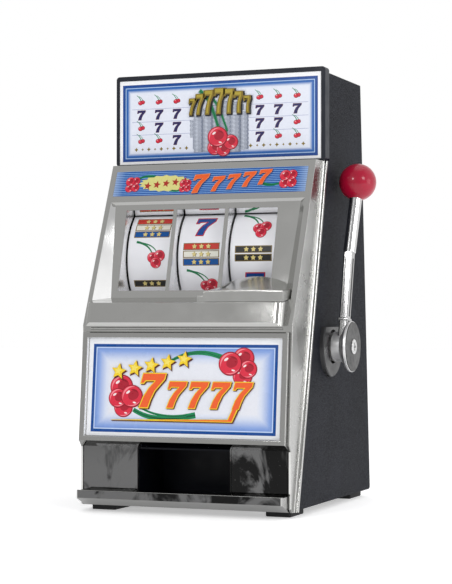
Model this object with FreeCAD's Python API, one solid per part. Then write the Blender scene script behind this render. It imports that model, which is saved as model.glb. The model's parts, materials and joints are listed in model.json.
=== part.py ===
"""Table-top slot machine bank with a pull lever, three spinning reels and a coin tray.

Units are millimetres. While modelling, X = 0 is the middle of the cabinet, Y = 0 is the front
of the sign frame, Z = 0 is the surface that the feet stand on, and the front faces -Y.
Every shape is moved at the end so that the origin is the bottom centre of the whole object.
"""
import FreeCAD, Part
import math
import os

V = FreeCAD.Vector
X_AXIS = V(1, 0, 0)
Y_AXIS = V(0, 1, 0)
Z_AXIS = V(0, 0, 1)

# ---------------------------------------------------------------- driving dimensions
WALL = 2.2                 # moulded plastic wall
HALF_W = 97.5              # cabinet half width
BASE_Z = 6.3               # underside of the cabinet
TOP_Z = 372.0              # top of the cabinet
SIGN_TOP_Z = 376.3         # top of the sign frame
SIGN_LOW_Z = 294.2         # bottom of the sign frame
SIGN_DEPTH = 11.5          # sign frame, front to back
BACK_TOP_Y = 102.2         # back of the cabinet at its top
BACK_LEAN = 0.0774         # how far the back runs out per millimetre of drop

CHROME_HALF = 94.2         # half width of the plated fascia
CHROME_TOP_Z = 296.0
CHROME_LOW_Z = 4.8
FLANGE = 2.6               # depth of the plated flange that meets the cabinet
SEAM_TOP_Y = 8.3           # where fascia and cabinet meet, at the fascia's top
SEAM_LEAN = 0.2593

RAIL_TOP_Y = -14.1         # upper front plane at the fascia's top
RAIL_LEAN = 0.4265
RAIL_LOW_Z = 156.0
RECESS_HALF = 90.0
RECESS_TOP_Z = 263.4
LEDGE_Z = 177.3            # front of the ledge under the reel windows

PANEL_TOP_Y = -28.3        # reel panel at the top of the windows
PANEL_TOP_Z = 255.5
PANEL_TILT = 15.22         # degrees from upright
WINDOW_W = 44.2
WINDOW_H = 72.4
REEL_PITCH = 47.6
REEL_MID_X = -4.3
REEL_COUNT = 3
REEL_STOPS = 13

DRUM_Y = 23.4              # reel shaft
DRUM_Z = 213.0
DRUM_R = 51.7
STRIP_R = 52.2
DRUM_W = 43.6
SHAFT_R = 4.0
RUNNING = 0.05             # radial clearance of a shaft in its hole

BELLY_TOP_Z = 150.7
BELLY_LOW_Z = 59.8
BELLY_TOP_Y = -77.9
BELLY_LEAN = 0.0924
BELLY_HALF = 92.0
POCKET = 4.0

CHEEK_Y = -76.9
TRAY_TOP_Z = 54.6
LIP_TOP_Z = 18.7
LIP_LOW_Z = 11.8
LIP_FRONT_Y = -91.5
LIP_HALF = 91.5
MOUTH_HALF = 41.4

LEVER_Y = 11.3             # lever shaft
LEVER_Z = 138.0
LEVER_SHAFT_R = 5.0
HUB_FACE_X = 119.0
HUB_R = 21.5
KNOB = V(116.0, 33.7, 279.2)
KNOB_R = 16.0
HUB_SCREW_SEAT = 0.5       # depth of the recess under the hub's screw head
HUB_FLOOR_X = HUB_FACE_X - 3.0
LEVER_SHOULDER = V(113.0, 19.2, 218.0)
LEVER_FOOT_END = V(112.0, 9.1, 160.6)
CRANK_Y = 30.0             # crank pin, from the lever shaft
CRANK_Z = -6.0
CHUTE_RIGHT_X = 35.8
BOSS_FACE_X = 101.0
BOSS_R = 25.5

BOARD_BACK_Y = 104.6        # rear face of the circuit board

STAR_R = 50.0              # star wheels beside the reels
STAR_T = 1.6
STAR_TOOTH_R = 6.0         # round notch that a pawl drops into
STAR_HOLE_R = 5.0
SPOKE_CIRCLE_R = 29.0      # where the lightening holes of a reel sit
STAR_CIRCLE_R = 30.0       # where those of a star wheel sit
PLATE_LEFT_X = -80.6       # reel frame plates
PLATE_RIGHT_X = 71.6
PLATE_T = 1.6
PAWL_Y = 88.0              # pawl shaft
PAWL_Z = 228.0
PAWL_SHAFT_R = 2.0
KICK_Y = 62.0              # kicker shaft
KICK_Z = 143.0
KICK_SHAFT_R = 2.5
TIE_R = 2.0
PIN_R = 1.2                # small hinge pins

PLATED_T = 2.4             # thickness of the plated mouldings
LABEL_T = 0.4              # printed belly label
MARQUEE_T = 0.35           # printed marquee label

ROD_R = 5.35               # plain rod under the ball
CELL_COUNT = 3             # battery cells
CELL_FIRST_X = -46.5
CELL_PITCH = 16.5
CELL_Y = 94.3
DOOR_PIN_Z = 27.5          # hinge of the rear coin door
LOCK_Z = 78.0

FOOT_LONG = 33.0
FOOT_WIDE = 22.0

REAR_SCREW = (3.4, 1.6, 1.6, 9.0)      # head radius, head height, shank radius, shank length
BASE_SCREW = (3.2, 1.5, 1.5, 8.0)

ORIGIN = V((KNOB.x + KNOB_R - HALF_W) / 2, 19.5, 0)

NODES = {}


# ---------------------------------------------------------------- helpers
def box(x0, x1, y0, y1, z0, z1):
    return Part.makeBox(x1 - x0, y1 - y0, z1 - z0, V(x0, y0, z0))


def prism_x(points, x0, x1):
    """Extrude an outline given as (y, z) points from x0 to x1."""
    corners = [V(x0, y, z) for y, z in points]
    face = Part.Face(Part.makePolygon(corners + corners[:1]))
    return face.extrude(V(x1 - x0, 0, 0))


def rod_x(y, z, radius, x0, x1):
    return Part.makeCylinder(radius, x1 - x0, V(x0, y, z), X_AXIS)


def ring_x(y, z, outer, inner, x0, x1):
    return rod_x(y, z, outer, x0, x1).cut(rod_x(y, z, inner, x0 - 1, x1 + 1))


def rod_between(start, end, radius):
    return Part.makeCylinder(radius, (end - start).Length, start, end - start)


def turned_x(profile, y, z):
    """Turn a closed (x, radius) outline about the X direction line through (y, z)."""
    corners = [V(x, y, z + radius) for x, radius in profile]
    face = Part.Face(Part.makePolygon(corners + corners[:1]))
    return face.revolve(V(0, y, z), X_AXIS, 360)


def mirrored(shape):
    return shape.mirror(V(0, 0, 0), X_AXIS)


def both_sides(shape):
    return shape.fuse(mirrored(shape))


def fuse_all(shapes):
    whole = shapes[0]
    for shape in shapes[1:]:
        whole = whole.fuse(shape)
    return whole.removeSplitter()


def cut_all(shape, cutters):
    for cutter in cutters:
        shape = shape.cut(cutter)
    return shape


def round_edges(shape, radius, wanted):
    """Round every edge whose middle point and direction pass the test."""
    chosen = []
    for edge in shape.Edges:
        first, last = edge.ParameterRange
        middle = edge.valueAt((first + last) / 2)
        direction = edge.tangentAt((first + last) / 2)
        if wanted(middle, direction, edge):
            chosen.append(edge)
    return shape.makeFillet(radius, chosen)


def seam_y(z):
    return SEAM_TOP_Y - (CHROME_TOP_Z - z) * SEAM_LEAN


def rail_y(z):
    return RAIL_TOP_Y - (CHROME_TOP_Z - z) * RAIL_LEAN


def back_y(z):
    return BACK_TOP_Y + (TOP_Z - z) * BACK_LEAN


def belly_y(z):
    return BELLY_TOP_Y - (BELLY_TOP_Z - z) * BELLY_LEAN


def panel_y(z):
    return PANEL_TOP_Y - (PANEL_TOP_Z - z) * math.tan(math.radians(PANEL_TILT))


def reel_x(index):
    """Middle of reel 0, 1 or 2."""
    return REEL_MID_X + (index - 1) * REEL_PITCH


def panel_box(x0, x1, deep0, deep1, up0, up1):
    """A box set square to the tilted reel panel; up is measured from the window tops."""
    shape = box(x0, x1, deep0, deep1, up0, up1)
    shape.rotate(V(0, 0, 0), X_AXIS, -PANEL_TILT)
    shape.translate(V(0, PANEL_TOP_Y, PANEL_TOP_Z))
    return shape


def add(name, shape):
    if not shape.isValid():
        raise ValueError(name + " is not a valid shape")
    NODES[name] = shape


# ---------------------------------------------------------------- cabinet
def cabinet_shell():
    bottom_y = seam_y(BASE_Z)
    step_z = CHROME_TOP_Z + 0.5
    outline = [
        (SIGN_DEPTH, TOP_Z), (BACK_TOP_Y, TOP_Z), (back_y(BASE_Z), BASE_Z),
        (bottom_y, BASE_Z), (seam_y(step_z), step_z), (SIGN_DEPTH, step_z),
    ]
    side = prism_x(outline, HALF_W - WALL, HALF_W)
    top = box(-HALF_W + WALL, HALF_W - WALL, SIGN_DEPTH, BACK_TOP_Y, TOP_Z - WALL, TOP_Z)
    shell = fuse_all([side, mirrored(side), top])
    corner = 3.0
    shell = round_edges(
        shell, corner,
        lambda p, d, e: abs(d.x) > 0.99 and e.Length < WALL * 1.5 and p.y > 100 and p.z < 20)
    shell = round_edges(
        shell, 1.2,
        lambda p, d, e: abs(abs(p.x) - HALF_W) < 0.01 and (p.z > TOP_Z - 0.01 or abs(d.x) < 0.01 and
                                                         p.y > 90 and abs(d.z) > 0.9))
    bush_hole = rod_x(LEVER_Y, LEVER_Z, LEVER_SHAFT_R + 4.0, 80, 100)
    add("cabinet_shell", shell.cut(bush_hole))


def lever_boss():
    flat_up = 16.7
    body = turned_x([(HALF_W, 0), (HALF_W, BOSS_R + 0.6), (BOSS_FACE_X - 0.8, BOSS_R),
                     (BOSS_FACE_X, BOSS_R - 0.8), (BOSS_FACE_X, 0)], LEVER_Y, LEVER_Z)
    above = box(90, 110, -50, 80, LEVER_Z + flat_up, LEVER_Z + 60)
    socket = rod_x(LEVER_Y, LEVER_Z, 14.5, BOSS_FACE_X - 2.6, 110)
    bore = rod_x(LEVER_Y, LEVER_Z, LEVER_SHAFT_R + 2.5, 90, 110)
    add("lever_boss", cut_all(body, [above, socket, bore]))


def lever_bush():
    sleeve = ring_x(LEVER_Y, LEVER_Z, LEVER_SHAFT_R + 2.5, LEVER_SHAFT_R + RUNNING, 90, BOSS_FACE_X - 2.6)
    collar = ring_x(LEVER_Y, LEVER_Z, LEVER_SHAFT_R + 6, LEVER_SHAFT_R + RUNNING, 90, HALF_W - WALL)
    add("lever_bush", sleeve.fuse(collar).removeSplitter())


def base_plate():
    front = seam_y(BASE_Z) - 5.5
    plate = box(-HALF_W + WALL, HALF_W - WALL, front + 6, back_y(BASE_Z) - WALL - 0.6, BASE_Z, BASE_Z + WALL)
    toe = box(-HALF_W + WALL + 4, HALF_W - WALL - 4, front, front + 6.2, BASE_Z - 1.6, BASE_Z + WALL)
    plate = fuse_all([plate, toe])
    holes = [Part.makeCylinder(BASE_SCREW[2], 20, V(x, y, 0), Z_AXIS) for x, y in base_screw_places()]
    add("base_plate", cut_all(plate, holes))


def base_screw_places():
    for x in (-50.0, 50.0):
        for y in (-40.0, 110.0):
            yield x, y


def foot_places():
    for x0 in (-HALF_W + 8.0, HALF_W - 8.0 - FOOT_WIDE):
        for y0 in (-65.0, 95.0):
            yield x0, y0


def feet():
    pads = []
    for x0, y0 in foot_places():
        top = BASE_Z - 1.6 if y0 < 0 else BASE_Z
        pad = box(x0, x0 + FOOT_WIDE, y0, y0 + FOOT_LONG, 0, top)
        if y0 < 0:
            rear = box(x0, x0 + FOOT_WIDE, y0 + 5.5, y0 + FOOT_LONG, BASE_Z - 1.6, BASE_Z)
            toe_clear = seam_y(BASE_Z) + 0.7
            rear = rear.cut(box(-100, 100, -100, toe_clear, 0, 20))
            pad = pad.fuse(rear).removeSplitter()
        pad = round_edges(pad, 1.5, lambda p, d, e: abs(d.z) > 0.99 and e.Length > 4)
        pad = round_edges(pad, 0.8, lambda p, d, e: p.z < 0.01)
        pads.append(pad)
    add("feet", Part.makeCompound(pads))


def rear_cover():
    z0, z1 = BASE_Z + WALL, TOP_Z - WALL
    half = HALF_W - WALL
    plate = prism_x([(back_y(z1), z1), (back_y(z0), z0), (back_y(z0) - WALL, z0),
                     (back_y(z1) - WALL, z1)], -half, half)
    door = box(-34.5, 34.5, 90, 140, 29.5, 90.5)
    lip = box(-55.5, -4.5, 90, 140, 123.0, 187.0)
    bay_recess = rear_block(1.8, 5, -58.1, -1.9, 119.8, 190.0)
    sound = [Part.makeCylinder(1.6, 40, V(45 + 7 * i, 95, 150 + 7 * j), Y_AXIS)
             for i in range(-2, 3) for j in range(-2, 3) if abs(i) + abs(j) < 4]
    switch = box(18.0, 32.0, 90, 140, 203.0, 209.0)
    screws = [Part.makeCylinder(1.9, 40, V(x, 90, z), Y_AXIS) for x, z in rear_screw_places()]
    knuckle_room = box(-28.05, 28.05, 90, 140, 24.4, 30)
    plate = cut_all(plate, [door, bay_recess, lip, switch, knuckle_room] + sound + screws)
    posts = []
    for x in (16.0, 62.0):
        post = Part.makeCylinder(1.8, 20, V(x, BOARD_BACK_Y, 236), Y_AXIS)
        posts.append(post.cut(rear_block(0.5, 60, 0, 90, 180, 260)))
    add("rear_cover", fuse_all([plate] + posts))


def rear_screw_places():
    for x in (-86.0, 86.0):
        for z in (22.0, 190.0, 356.0):
            yield x, z


def rear_block(inset, outset, x0, x1, z0, z1):
    """A slab that lies along the leaning back, from inset inside it to outset outside it."""
    return prism_x([(back_y(z1) - inset, z1), (back_y(z0) - inset, z0),
                    (back_y(z0) + outset, z0), (back_y(z1) + outset, z1)], x0, x1)


def screw(head_r, head_h, shank_r, shank_l):
    """A pan-head screw along +Z with a cross recess in its head."""
    head = Part.makeCylinder(head_r, head_h)
    head = head.makeFillet(head_h * 0.45, [e for e in head.Edges if e.BoundBox.ZMin > head_h - 0.01])
    shank = Part.makeCylinder(shank_r, shank_l, V(0, 0, -shank_l))
    slot_l, slot_w = head_r * 1.1, head_r * 0.28
    cross = [box(-slot_l / 2, slot_l / 2, -slot_w / 2, slot_w / 2, head_h * 0.45, head_h + 1),
             box(-slot_w / 2, slot_w / 2, -slot_l / 2, slot_l / 2, head_h * 0.45, head_h + 1)]
    return cut_all(head.fuse(shank).removeSplitter(), cross)


def facing(shape, direction, place):
    """Turn a shape made along +Z to point along direction and put it at place."""
    turned = shape.copy()
    turned.Placement = FreeCAD.Placement(place, FreeCAD.Rotation(Z_AXIS, direction))
    return turned


def cabinet_screws():
    out = V(0, math.cos(math.atan(BACK_LEAN)), math.sin(math.atan(BACK_LEAN)))
    rear = [V(x, back_y(z) + 0.15, z) for x, z in rear_screw_places()]
    screws = [facing(screw(*REAR_SCREW), out, place) for place in rear]
    under = [V(x, y, BASE_Z) for x, y in base_screw_places()]
    screws += [facing(screw(*BASE_SCREW), V(0, 0, -1), place) for place in under]
    add("case_screws", Part.makeCompound(screws))


# ---------------------------------------------------------------- sign
def sign():
    panel_half, low, high = 94.0, 298.0, 372.0
    frame = box(-HALF_W - 0.1, HALF_W + 0.1, 0, SIGN_DEPTH, SIGN_LOW_Z + 2.3, SIGN_TOP_Z)
    frame = round_edges(frame, 3.0, lambda p, d, e: abs(d.y) > 0.99)
    frame = round_edges(frame, 1.2, lambda p, d, e: p.y < 0.01)
    rabbet = box(-panel_half - 0.05, panel_half + 0.05, -1, 2.4, low - 0.05, high + 0.05)
    hollow = box(-panel_half + 4, panel_half - 4, -1, SIGN_DEPTH + 1, low + 4, high - 4)
    add("sign_frame", cut_all(frame, [rabbet, hollow]))
    add("sign_panel", box(-panel_half, panel_half, 0.4, 2.4, low, high))


# ---------------------------------------------------------------- plated front
def loft(rings):
    wires = [Part.makePolygon(ring + ring[:1]) for ring in rings]
    return Part.makeLoft(wires, True, True)


def recess_solid(grow):
    """The space in front of the reel panel, grown outwards by a wall if asked."""
    top_front = V(0, rail_y(RECESS_TOP_Z + grow) - 0.5 + grow, RECESS_TOP_Z + grow)
    low_front = V(0, rail_y(LEDGE_Z - grow) - 0.5 + grow, LEDGE_Z - grow)
    top_back_z, low_back_z = 260.4 + grow, 179.6 - grow
    top_back = V(0, panel_y(top_back_z) + grow, top_back_z)
    low_back = V(0, panel_y(low_back_z) + grow, low_back_z)
    wide, top_half, low_half = RECESS_HALF + grow, 85.4 + grow, 79.4 + grow
    front = [V(-wide, top_front.y, top_front.z), V(wide, top_front.y, top_front.z),
             V(wide, low_front.y, low_front.z), V(-wide, low_front.y, low_front.z)]
    rear = [V(-top_half, top_back.y, top_back.z), V(top_half, top_back.y, top_back.z),
            V(low_half, low_back.y, low_back.z), V(-low_half, low_back.y, low_back.z)]
    return loft([front, rear])


def window_boxes(spread, deep0, deep1):
    for index in range(REEL_COUNT):
        middle = reel_x(index)
        yield panel_box(middle - WINDOW_W / 2 - spread, middle + WINDOW_W / 2 + spread,
                        deep0, deep1, -WINDOW_H - spread, spread)


def coin_slot():
    return box(30.4, 33.8, -71.0, -46.5, 150, 215)


def fascia_outline():
    return [
        (rail_y(CHROME_TOP_Z), CHROME_TOP_Z), (seam_y(CHROME_TOP_Z), CHROME_TOP_Z),
        (seam_y(CHROME_LOW_Z), CHROME_LOW_Z), (-74.0, CHROME_LOW_Z), (-77.2, 8.0),
        (-77.2, TRAY_TOP_Z - 0.6), (-81.3, BELLY_LOW_Z - 0.4), (-73.6, BELLY_TOP_Z),
        (rail_y(RAIL_LOW_Z), RAIL_LOW_Z),
    ]


def on_flange(point, edge, edge_x):
    """True for a long edge of the flange that meets the cabinet, at the given x."""
    at_front = abs(point.y - seam_y(point.z) + FLANGE) < 0.2
    return abs(point.x - edge_x) < 0.01 and at_front and edge.Length > 100


def fascia():
    cheek = prism_x(fascia_outline(), BELLY_HALF + 0.2, CHROME_HALF)
    cheek = round_edges(
        cheek, 1.0,
        lambda p, d, e: abs(p.x - CHROME_HALF) < 0.01 and p.y < seam_y(p.z) - 8 and p.z < 290)
    flange = prism_x([(seam_y(CHROME_TOP_Z) - FLANGE, CHROME_TOP_Z), (seam_y(CHROME_TOP_Z), CHROME_TOP_Z),
                      (seam_y(CHROME_LOW_Z), CHROME_LOW_Z), (seam_y(CHROME_LOW_Z) - FLANGE, CHROME_LOW_Z)],
                     CHROME_HALF - 1, HALF_W)
    side = cheek.fuse(flange).removeSplitter()
    for edge_x, radius in ((CHROME_HALF, 1.8), (HALF_W, 0.9)):
        side = round_edges(side, radius, lambda p, d, e: on_flange(p, e, edge_x))
    face_t = PLATED_T
    front = prism_x([(rail_y(CHROME_TOP_Z), CHROME_TOP_Z), (rail_y(CHROME_TOP_Z) + face_t, CHROME_TOP_Z),
                     (rail_y(RAIL_LOW_Z) + face_t, RAIL_LOW_Z), (rail_y(RAIL_LOW_Z), RAIL_LOW_Z)],
                    -BELLY_HALF - 0.2, BELLY_HALF + 0.2)
    apron = prism_x([(rail_y(RAIL_LOW_Z), RAIL_LOW_Z), (rail_y(RAIL_LOW_Z) + face_t, RAIL_LOW_Z),
                     (-73.6 + face_t, BELLY_TOP_Z), (-73.6, BELLY_TOP_Z)],
                    -BELLY_HALF - 0.2, BELLY_HALF + 0.2)
    bead = rod_x(-73.7, 153.6, 0.9, -86, 86)
    top = box(-BELLY_HALF - 0.2, BELLY_HALF + 0.2, rail_y(CHROME_TOP_Z), seam_y(CHROME_TOP_Z),
              CHROME_TOP_Z - WALL, CHROME_TOP_Z)
    recess = recess_solid(0)
    pan = recess_solid(WALL)
    shroud = fuse_all(list(window_boxes(1.7, 1.0, 34.0)))
    plate = fuse_all([front.cut(recess), apron, bead, top, pan, shroud])
    plate = plate.cut(recess)
    drum_room = rod_x(DRUM_Y, DRUM_Z, STRIP_R + 1.5, -90, 90)
    plate = cut_all(plate, list(window_boxes(0, -20, 60)) + [drum_room, coin_slot()])
    ahead = prism_x([(rail_y(300), 300), (rail_y(RAIL_LOW_Z), RAIL_LOW_Z), (-120, RAIL_LOW_Z), (-120, 300)],
                    -100, 100)
    plate = plate.cut(ahead)
    label_pocket = marquee_slab(88.6, 0.0, MARQUEE_T)
    whole = fuse_all([side, mirrored(side), plate.cut(label_pocket)])
    add("fascia", whole)


def marquee_slab(half, deep0, deep1):
    z1, z0 = 290.2, 268.2
    return prism_x([(rail_y(z1) + deep0, z1), (rail_y(z1) + deep1, z1),
                    (rail_y(z0) + deep1, z0), (rail_y(z0) + deep0, z0)], -half, half)


def counter():
    front_half, corner = 88.0, 6.0
    z_back = LEDGE_Z
    outline = [(rail_y(z_back), z_back), (-80.0, 175.0), (-84.0, 158.6), (-82.8, 155.6),
               (-73.9, 155.6), (rail_y(RAIL_LOW_Z), RAIL_LOW_Z)]
    block = prism_x(outline, -front_half, front_half)
    block = round_edges(
        block, corner,
        lambda p, d, e: abs(abs(p.x) - front_half) < 0.01 and p.y < -79 and 158.7 < p.z < 174.9)
    block = round_edges(
        block, 1.0, lambda p, d, e: abs(p.z - 175.0) < 0.02 and p.y < -77)
    inside = prism_x([(rail_y(z_back - WALL) + 3, z_back - WALL), (-77.6, 172.8), (-80.6, 160.2),
                      (-75.5, 158.2), (rail_y(158.2) + 3, 158.2)], -front_half + 7, front_half - 7)
    add("counter", cut_all(block, [inside, coin_slot()]))


def coin_entry():
    """The raised pad on the right of the counter, with the coin slot in its sloping top."""
    middle, half = 52.5, 35.4
    deep_z = LEDGE_Z + 0.2
    rear_y = panel_y(196.0) - 0.4
    rear_low, rear_side, rear_high = 179.8, 187.0, 196.9
    front_y, front_low, front_high = -77.4, 175.6, 184.6
    rear_edges = [
        Part.makeLine(V(middle - half, rear_y, rear_low), V(middle - half, rear_y, rear_side)),
        Part.Arc(V(middle - half, rear_y, rear_side), V(middle, rear_y, rear_high),
                 V(middle + half, rear_y, rear_side)).toShape(),
        Part.makeLine(V(middle + half, rear_y, rear_side), V(middle + half, rear_y, rear_low)),
        Part.makeLine(V(middle + half, rear_y, rear_low), V(middle - half, rear_y, rear_low)),
    ]
    near = half - 0.6
    front_edges = [
        Part.makeLine(V(middle - near, front_y, front_low), V(middle - near, front_y, front_high)),
        Part.Arc(V(middle - near, front_y, front_high), V(middle, front_y, front_high + 0.5),
                 V(middle + near, front_y, front_high)).toShape(),
        Part.makeLine(V(middle + near, front_y, front_high), V(middle + near, front_y, front_low)),
        Part.makeLine(V(middle + near, front_y, front_low), V(middle - near, front_y, front_low)),
    ]
    pad = Part.makeLoft([Part.Wire(rear_edges), Part.Wire(front_edges)], True, True)
    pad = round_edges(
        pad, 1.1,
        lambda p, d, e: p.z > 183 and (p.y < front_y + 0.01 or abs(abs(p.x - middle) - half) < 1.0))
    step = box(middle - half - 5.5, middle - half + 1, front_y + 1, -58.0, 170, 180.6)
    step = round_edges(step, 0.7, lambda p, d, e: p.z > 180.5)
    pad = pad.fuse(step)
    slope = (deep_z - 175.0) / (rail_y(LEDGE_Z) + 80.0)
    under = prism_x([(-90, 175.0 - 10 * slope), (-40, 175.0 + 40 * slope), (-40, 150), (-90, 150)],
                    -100, 100)
    behind = prism_x([(panel_y(260), 260), (panel_y(170), 170), (20, 170), (20, 260)], -100, 100)
    walls = recess_solid(WALL + 8).cut(recess_solid(0))
    pad = cut_all(pad, [under, behind, walls, coin_slot(), NODES["fascia"]])
    add("coin_entry", max(pad.Solids, key=lambda piece: piece.Volume))


def belly():
    outline = [(BELLY_TOP_Y + 0.8, BELLY_TOP_Z), (BELLY_TOP_Y, BELLY_TOP_Z - 0.8),
               (belly_y(BELLY_LOW_Z), BELLY_LOW_Z), (CHEEK_Y, TRAY_TOP_Z),
               (CHEEK_Y + 4, TRAY_TOP_Z), (BELLY_TOP_Y + 8, BELLY_TOP_Z)]
    slab = prism_x(outline, -BELLY_HALF, BELLY_HALF)
    slab = round_edges(
        slab, 1.0,
        lambda p, d, e: abs(abs(p.x) - BELLY_HALF) < 0.01 and 70 < p.z < 145 and p.y < belly_y(p.z) + 1)
    top_in, low_in, side_in = 146.2, 63.7, 87.0
    pocket = prism_x([(belly_y(top_in) - 5, top_in), (belly_y(top_in) + POCKET, top_in),
                      (belly_y(low_in) + POCKET, low_in), (belly_y(low_in) - 5, low_in)], -side_in, side_in)
    slab = slab.cut(pocket)
    slab = round_edges(
        slab, 0.8,
        lambda p, d, e: (abs(p.y - belly_y(p.z)) < 0.05 and low_in - 0.1 < p.z < top_in + 0.1
                         and abs(p.x) < side_in + 0.1))
    wall = PLATED_T
    hollow = prism_x([(belly_y(top_in) + POCKET + wall, BELLY_TOP_Z - wall),
                      (BELLY_TOP_Y + 30, BELLY_TOP_Z - wall), (BELLY_TOP_Y + 30, TRAY_TOP_Z + wall),
                      (belly_y(low_in) + POCKET + wall, low_in - wall / 2)],
                     -BELLY_HALF + wall, BELLY_HALF - wall)
    add("belly_frame", slab.cut(hollow))
    top_l, low_l, side_l = top_in - 0.3, low_in + 0.3, side_in - 0.4
    label_front = POCKET - LABEL_T
    add("belly_label", prism_x([(belly_y(top_l) + label_front, top_l), (belly_y(top_l) + POCKET, top_l),
                                (belly_y(low_l) + POCKET, low_l), (belly_y(low_l) + label_front, low_l)],
                               -side_l, side_l))
    add("marquee_label", marquee_slab(88.5, 0.0, MARQUEE_T))


def tray_surround():
    half = BELLY_HALF
    face_t = PLATED_T
    floor_z = LIP_TOP_Z - 0.6
    lip_outline = [(CHEEK_Y, floor_z), (CHEEK_Y - 1.2, floor_z), (LIP_FRONT_Y + 2.4, floor_z),
                   (LIP_FRONT_Y + 2.0, LIP_TOP_Z), (LIP_FRONT_Y, LIP_TOP_Z), (LIP_FRONT_Y, LIP_LOW_Z),
                   (-76.3, 5.2), (CHEEK_Y + face_t, 5.2), (CHEEK_Y + face_t, floor_z)]
    lip = prism_x(lip_outline, -LIP_HALF, LIP_HALF)
    lip = round_edges(
        lip, 1.6,
        lambda p, d, e: (abs(abs(p.x) - LIP_HALF) < 0.01 and p.y < LIP_FRONT_Y + 0.1
                         and abs(d.z) > 0.9))
    lip = round_edges(
        lip, 0.6, lambda p, d, e: abs(p.y - LIP_FRONT_Y) < 0.02 and abs(d.x) > 0.9)
    face = box(-half, half, CHEEK_Y, CHEEK_Y + face_t, floor_z, TRAY_TOP_Z)
    mouth = box(-MOUTH_HALF, MOUTH_HALF, CHEEK_Y - 1, CHEEK_Y + face_t + 1, floor_z, TRAY_TOP_Z + 1)
    rim = box(-MOUTH_HALF - 1.0, MOUTH_HALF + 1.0, CHEEK_Y - 0.7, CHEEK_Y + 1, floor_z, TRAY_TOP_Z)
    scoop = box(-MOUTH_HALF, MOUTH_HALF, LIP_FRONT_Y + 5.0, CHEEK_Y + 8, 13.6, LIP_TOP_Z + 1)
    groove = both_sides(box(BELLY_HALF - 0.9, BELLY_HALF + 1, CHEEK_Y - 1, CHEEK_Y + 1.2, 6, TRAY_TOP_Z + 1))
    add("tray_surround", fuse_all([lip, face, rim]).cut(mouth).cut(scoop).cut(groove))


# ---------------------------------------------------------------- coin path
def coin_path():
    back, low, high = -22.0, 13.6, 54.0
    half = MOUTH_HALF - 0.3
    front = CHEEK_Y + 2.5
    outer = box(-half - 1.6, half + 1.6, front, back, low - 1.6, high + 0.4)
    inner = box(-half, half, front - 5, back - 1.6, low, high - 1.0)
    drop = box(-31, 31, -54.0, back - 1.6, high - 3, high + 10)
    add("coin_tray", cut_all(outer, [inner, drop]))

    x0, x1, y0, y1 = 28.4, CHUTE_RIGHT_X, -64.5, -39.4
    z0, z1 = 104.0, 166.0
    tube = box(x0, x1, y0, y1, z0, z1)
    bore = box(x0 + 1.2, x1 - 1.2, y0 + 1.2, y1 - 1.2, z0 - 1, z1 + 1)
    trip_window = box(x1 - 2, x1 + 1, -58, -48, 118, 138)
    tab = box(x0, x1, rail_y(162) + 2.5, y0, 160.0, 162.0)
    add("coin_chute", fuse_all([tube, tab]).cut(bore).cut(trip_window))

    hop_top, hop_low = 100.0, 62.0
    outer = prism_x([(-64, hop_top), (12, hop_top), (-22, hop_low), (-64, hop_low)], -44, 44)
    inner = prism_x([(-62.4, hop_top + 1), (10, hop_top + 1), (-24, hop_low + 1.6), (-62.4, hop_low + 1.6)],
                    -42.4, 42.4)
    outlet = box(-28, 28, -48, -24.5, hop_low - 1, hop_low + 3)
    add("hopper", outer.cut(inner).cut(outlet))


def payout_gate():
    """Flap under the hopper that swings down to let coins into the tray."""
    y_pin, z_pin = -50.5, 59.0
    half = 29.5
    plate = box(-half, half, -48.5, -24.6, 60.0, 61.4)
    arm = box(-half, half, y_pin, -48.0, 57.8, 61.4)
    knuckle = rod_x(y_pin, z_pin, 2.4, -half, half)
    gate = fuse_all([plate, arm, knuckle]).cut(rod_x(y_pin, z_pin, PIN_R + RUNNING, -40, 40))
    add("payout_gate", gate)
    pin = rod_x(y_pin, z_pin, PIN_R, -34, 34)
    ears = [box(x, x + 2, y_pin - 3, y_pin + 3, z_pin - 3, 62) for x in (-33.0, 31.0)]
    add("gate_pin", fuse_all([pin] + ears))


def coin_trip():
    """Small rocker that a falling coin pushes aside to free the lever."""
    y_mid, x_pin, z_pin = -53.0, 44.0, 128.0
    hub = Part.makeCylinder(3.2, 8, V(x_pin, y_mid - 4, z_pin), Y_AXIS)
    finger = box(32.0, x_pin, y_mid - 3, y_mid + 3, z_pin - 1.1, z_pin + 1.1)
    tail = box(x_pin, x_pin + 12, y_mid - 3, y_mid + 3, z_pin - 1.4, z_pin + 1.4)
    bore = Part.makeCylinder(PIN_R + RUNNING, 20, V(x_pin, y_mid - 10, z_pin), Y_AXIS)
    add("coin_trip", fuse_all([hub, finger, tail]).cut(bore))
    pin = Part.makeCylinder(PIN_R, 16, V(x_pin, y_mid - 8, z_pin), Y_AXIS)
    stand = [box(x_pin - 3, x_pin + 3, y_mid + s, y_mid + s + 1.6, z_pin - 20, z_pin + 3)
             for s in (-7.2, 5.6)]
    foot = box(x_pin - 3, x_pin + 3, y_mid - 7.2, y_mid + 7.2, z_pin - 20, z_pin - 18)
    arm = box(CHUTE_RIGHT_X, x_pin - 3, y_mid - 7.2, y_mid + 7.2, z_pin - 20, z_pin - 18)
    add("trip_bracket", fuse_all([pin] + stand + [foot, arm]))


# ---------------------------------------------------------------- reels
def around_drum(radius, angle):
    """The (y, z) place at a radius and an angle about the reel shaft."""
    return DRUM_Y + radius * math.cos(angle), DRUM_Z + radius * math.sin(angle)


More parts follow.
